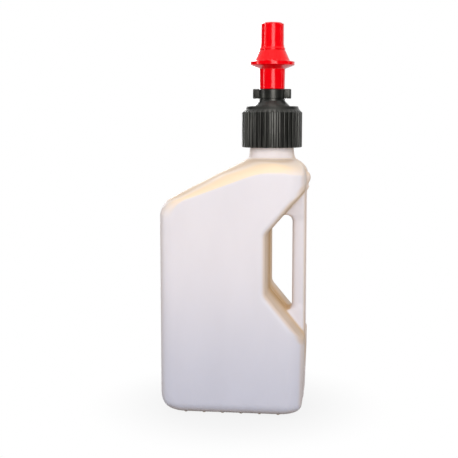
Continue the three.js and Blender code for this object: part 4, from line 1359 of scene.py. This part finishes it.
def place_lamps():
    for name, settings in LAMPS.items():
        azimuth, elevation, distance, width, height, power, lights, mirrored = settings
        data = bpy.data.lights.new(name, "AREA")
        data.shape = "RECTANGLE"
        data.size = width
        data.size_y = height
        data.energy = power
        lamp = bpy.data.objects.new(name, data)
        out = direction(math.radians(azimuth), math.radians(elevation))
        lamp.location = LAMP_AIM + out * distance
        lamp.rotation_euler = (-out).to_track_quat("-Z", "Y").to_euler()
        lamp.visible_camera = False
        lamp.visible_diffuse = lights
        lamp.visible_glossy = mirrored
        bpy.context.scene.collection.objects.link(lamp)


SURROUND_LIGHT = 0.35


def light_world():
    """A white backdrop for the camera and for reflections, and a softer level for the light it gives."""
    world = bpy.data.worlds.new("white_surround")
    bpy.context.scene.world = world
    world.use_nodes = True
    tree = world.node_tree
    tree.nodes.clear()
    path = add_node(tree, "ShaderNodeLightPath")
    seen = add_node(tree, "ShaderNodeMath", {
        0: path.outputs["Is Camera Ray"], 1: path.outputs["Is Glossy Ray"]}, operation="MAXIMUM")
    seen_all = add_node(tree, "ShaderNodeMath", {
        0: seen.outputs["Value"], 1: path.outputs["Is Transmission Ray"]}, operation="MAXIMUM")
    level = add_node(tree, "ShaderNodeMapRange", {
        "Value": seen_all.outputs["Value"], "To Min": SURROUND_LIGHT, "To Max": 1.0})
    back = add_node(tree, "ShaderNodeBackground", {
        "Color": (1, 1, 1, 1), "Strength": level.outputs["Result"]})
    add_node(tree, "ShaderNodeOutputWorld", {"Surface": back.outputs["Background"]})


# Two black cards beside the jug, which glossy surfaces mirror as dark flanks: first and last
# azimuth in degrees. Above and behind them the surround stays white.
FLAGS = {"flag_left": (-125, 0), "flag_right": (30, 125)}
FLAG_DISTANCE = 1.36
FLAG_HEIGHT = 1.25
FLAG_EDGES = 13


def stand_flags():
    material, _, shader, _ = new_material("black_card")
    shader.inputs["Base Color"].default_value = colour("#0a0a0a")
    shader.inputs["Roughness"].default_value = 1.0
    shader.inputs["Specular IOR Level"].default_value = 0.0
    for name, (first, last) in FLAGS.items():
        vertices = []
        for azimuth in np.linspace(first, last, FLAG_EDGES):
            out = direction(math.radians(azimuth), 0) * FLAG_DISTANCE / MM
            vertices += [(out.x, out.y, 0), (out.x, out.y, FLAG_HEIGHT / MM)]
        faces = [(i, i + 2, i + 3, i + 1) for i in range(0, len(vertices) - 2, 2)]
        card = piece_from(name, vertices, faces)
        card.data.materials.append(material)
        card.visible_camera = False
        card.visible_diffuse = False
        card.visible_shadow = False


# Floor: its radius in millimetres, where its shadow starts and ends to fade in metres, and how far
# it is mixed with the white of the backdrop next to the jug
FLOOR_RADIUS = 8000
FLOOR_STEPS = 96
SHADOW_FADE = (0.08, 0.26)
FLOOR_WHITENESS = 0.88


def lay_floor():
    """A pale floor that keeps the jug's shadow near it and fades into the white backdrop."""
    around = np.linspace(0, 2 * math.pi, FLOOR_STEPS, endpoint=False)
    ring = np.column_stack([np.cos(around), np.sin(around), np.zeros(FLOOR_STEPS)]) * FLOOR_RADIUS
    floor = piece_from("floor", ring, [tuple(range(FLOOR_STEPS))])
    material = bpy.data.materials.new("pale_floor")
    material.use_nodes = True
    tree = material.node_tree
    tree.nodes.clear()
    position = add_node(tree, "ShaderNodeTexCoord").outputs["Object"]
    reach = add_node(tree, "ShaderNodeVectorMath", {0: position}, operation="LENGTH")
    far = add_node(tree, "ShaderNodeMapRange", {
        "Value": reach.outputs["Value"], "From Min": SHADOW_FADE[0], "From Max": SHADOW_FADE[1],
        "To Min": FLOOR_WHITENESS}, interpolation_type="SMOOTHSTEP")
    path = add_node(tree, "ShaderNodeLightPath")
    shown = add_node(tree, "ShaderNodeMath", {
        0: path.outputs["Is Camera Ray"], 1: path.outputs["Is Glossy Ray"]}, operation="MAXIMUM")
    fade = add_node(tree, "ShaderNodeMath", {
        0: far.outputs["Result"], 1: shown.outputs["Value"]}, operation="MULTIPLY")
    matt = add_node(tree, "ShaderNodeBsdfPrincipled", {"Base Color": colour("#7a7a7c"), "Roughness": 0.9})
    white = add_node(tree, "ShaderNodeEmission", {"Color": (1, 1, 1, 1), "Strength": 1.0})
    mixed = add_node(tree, "ShaderNodeMixShader", {
        "Fac": fade.outputs["Value"], 1: matt.outputs["BSDF"], 2: white.outputs["Emission"]})
    add_node(tree, "ShaderNodeOutputMaterial", {"Surface": mixed.outputs["Shader"]})
    floor.data.materials.append(material)


place_camera()
place_lamps()
light_world()
stand_flags()
lay_floor()
bpy.context.scene.view_settings.view_transform = "Standard"
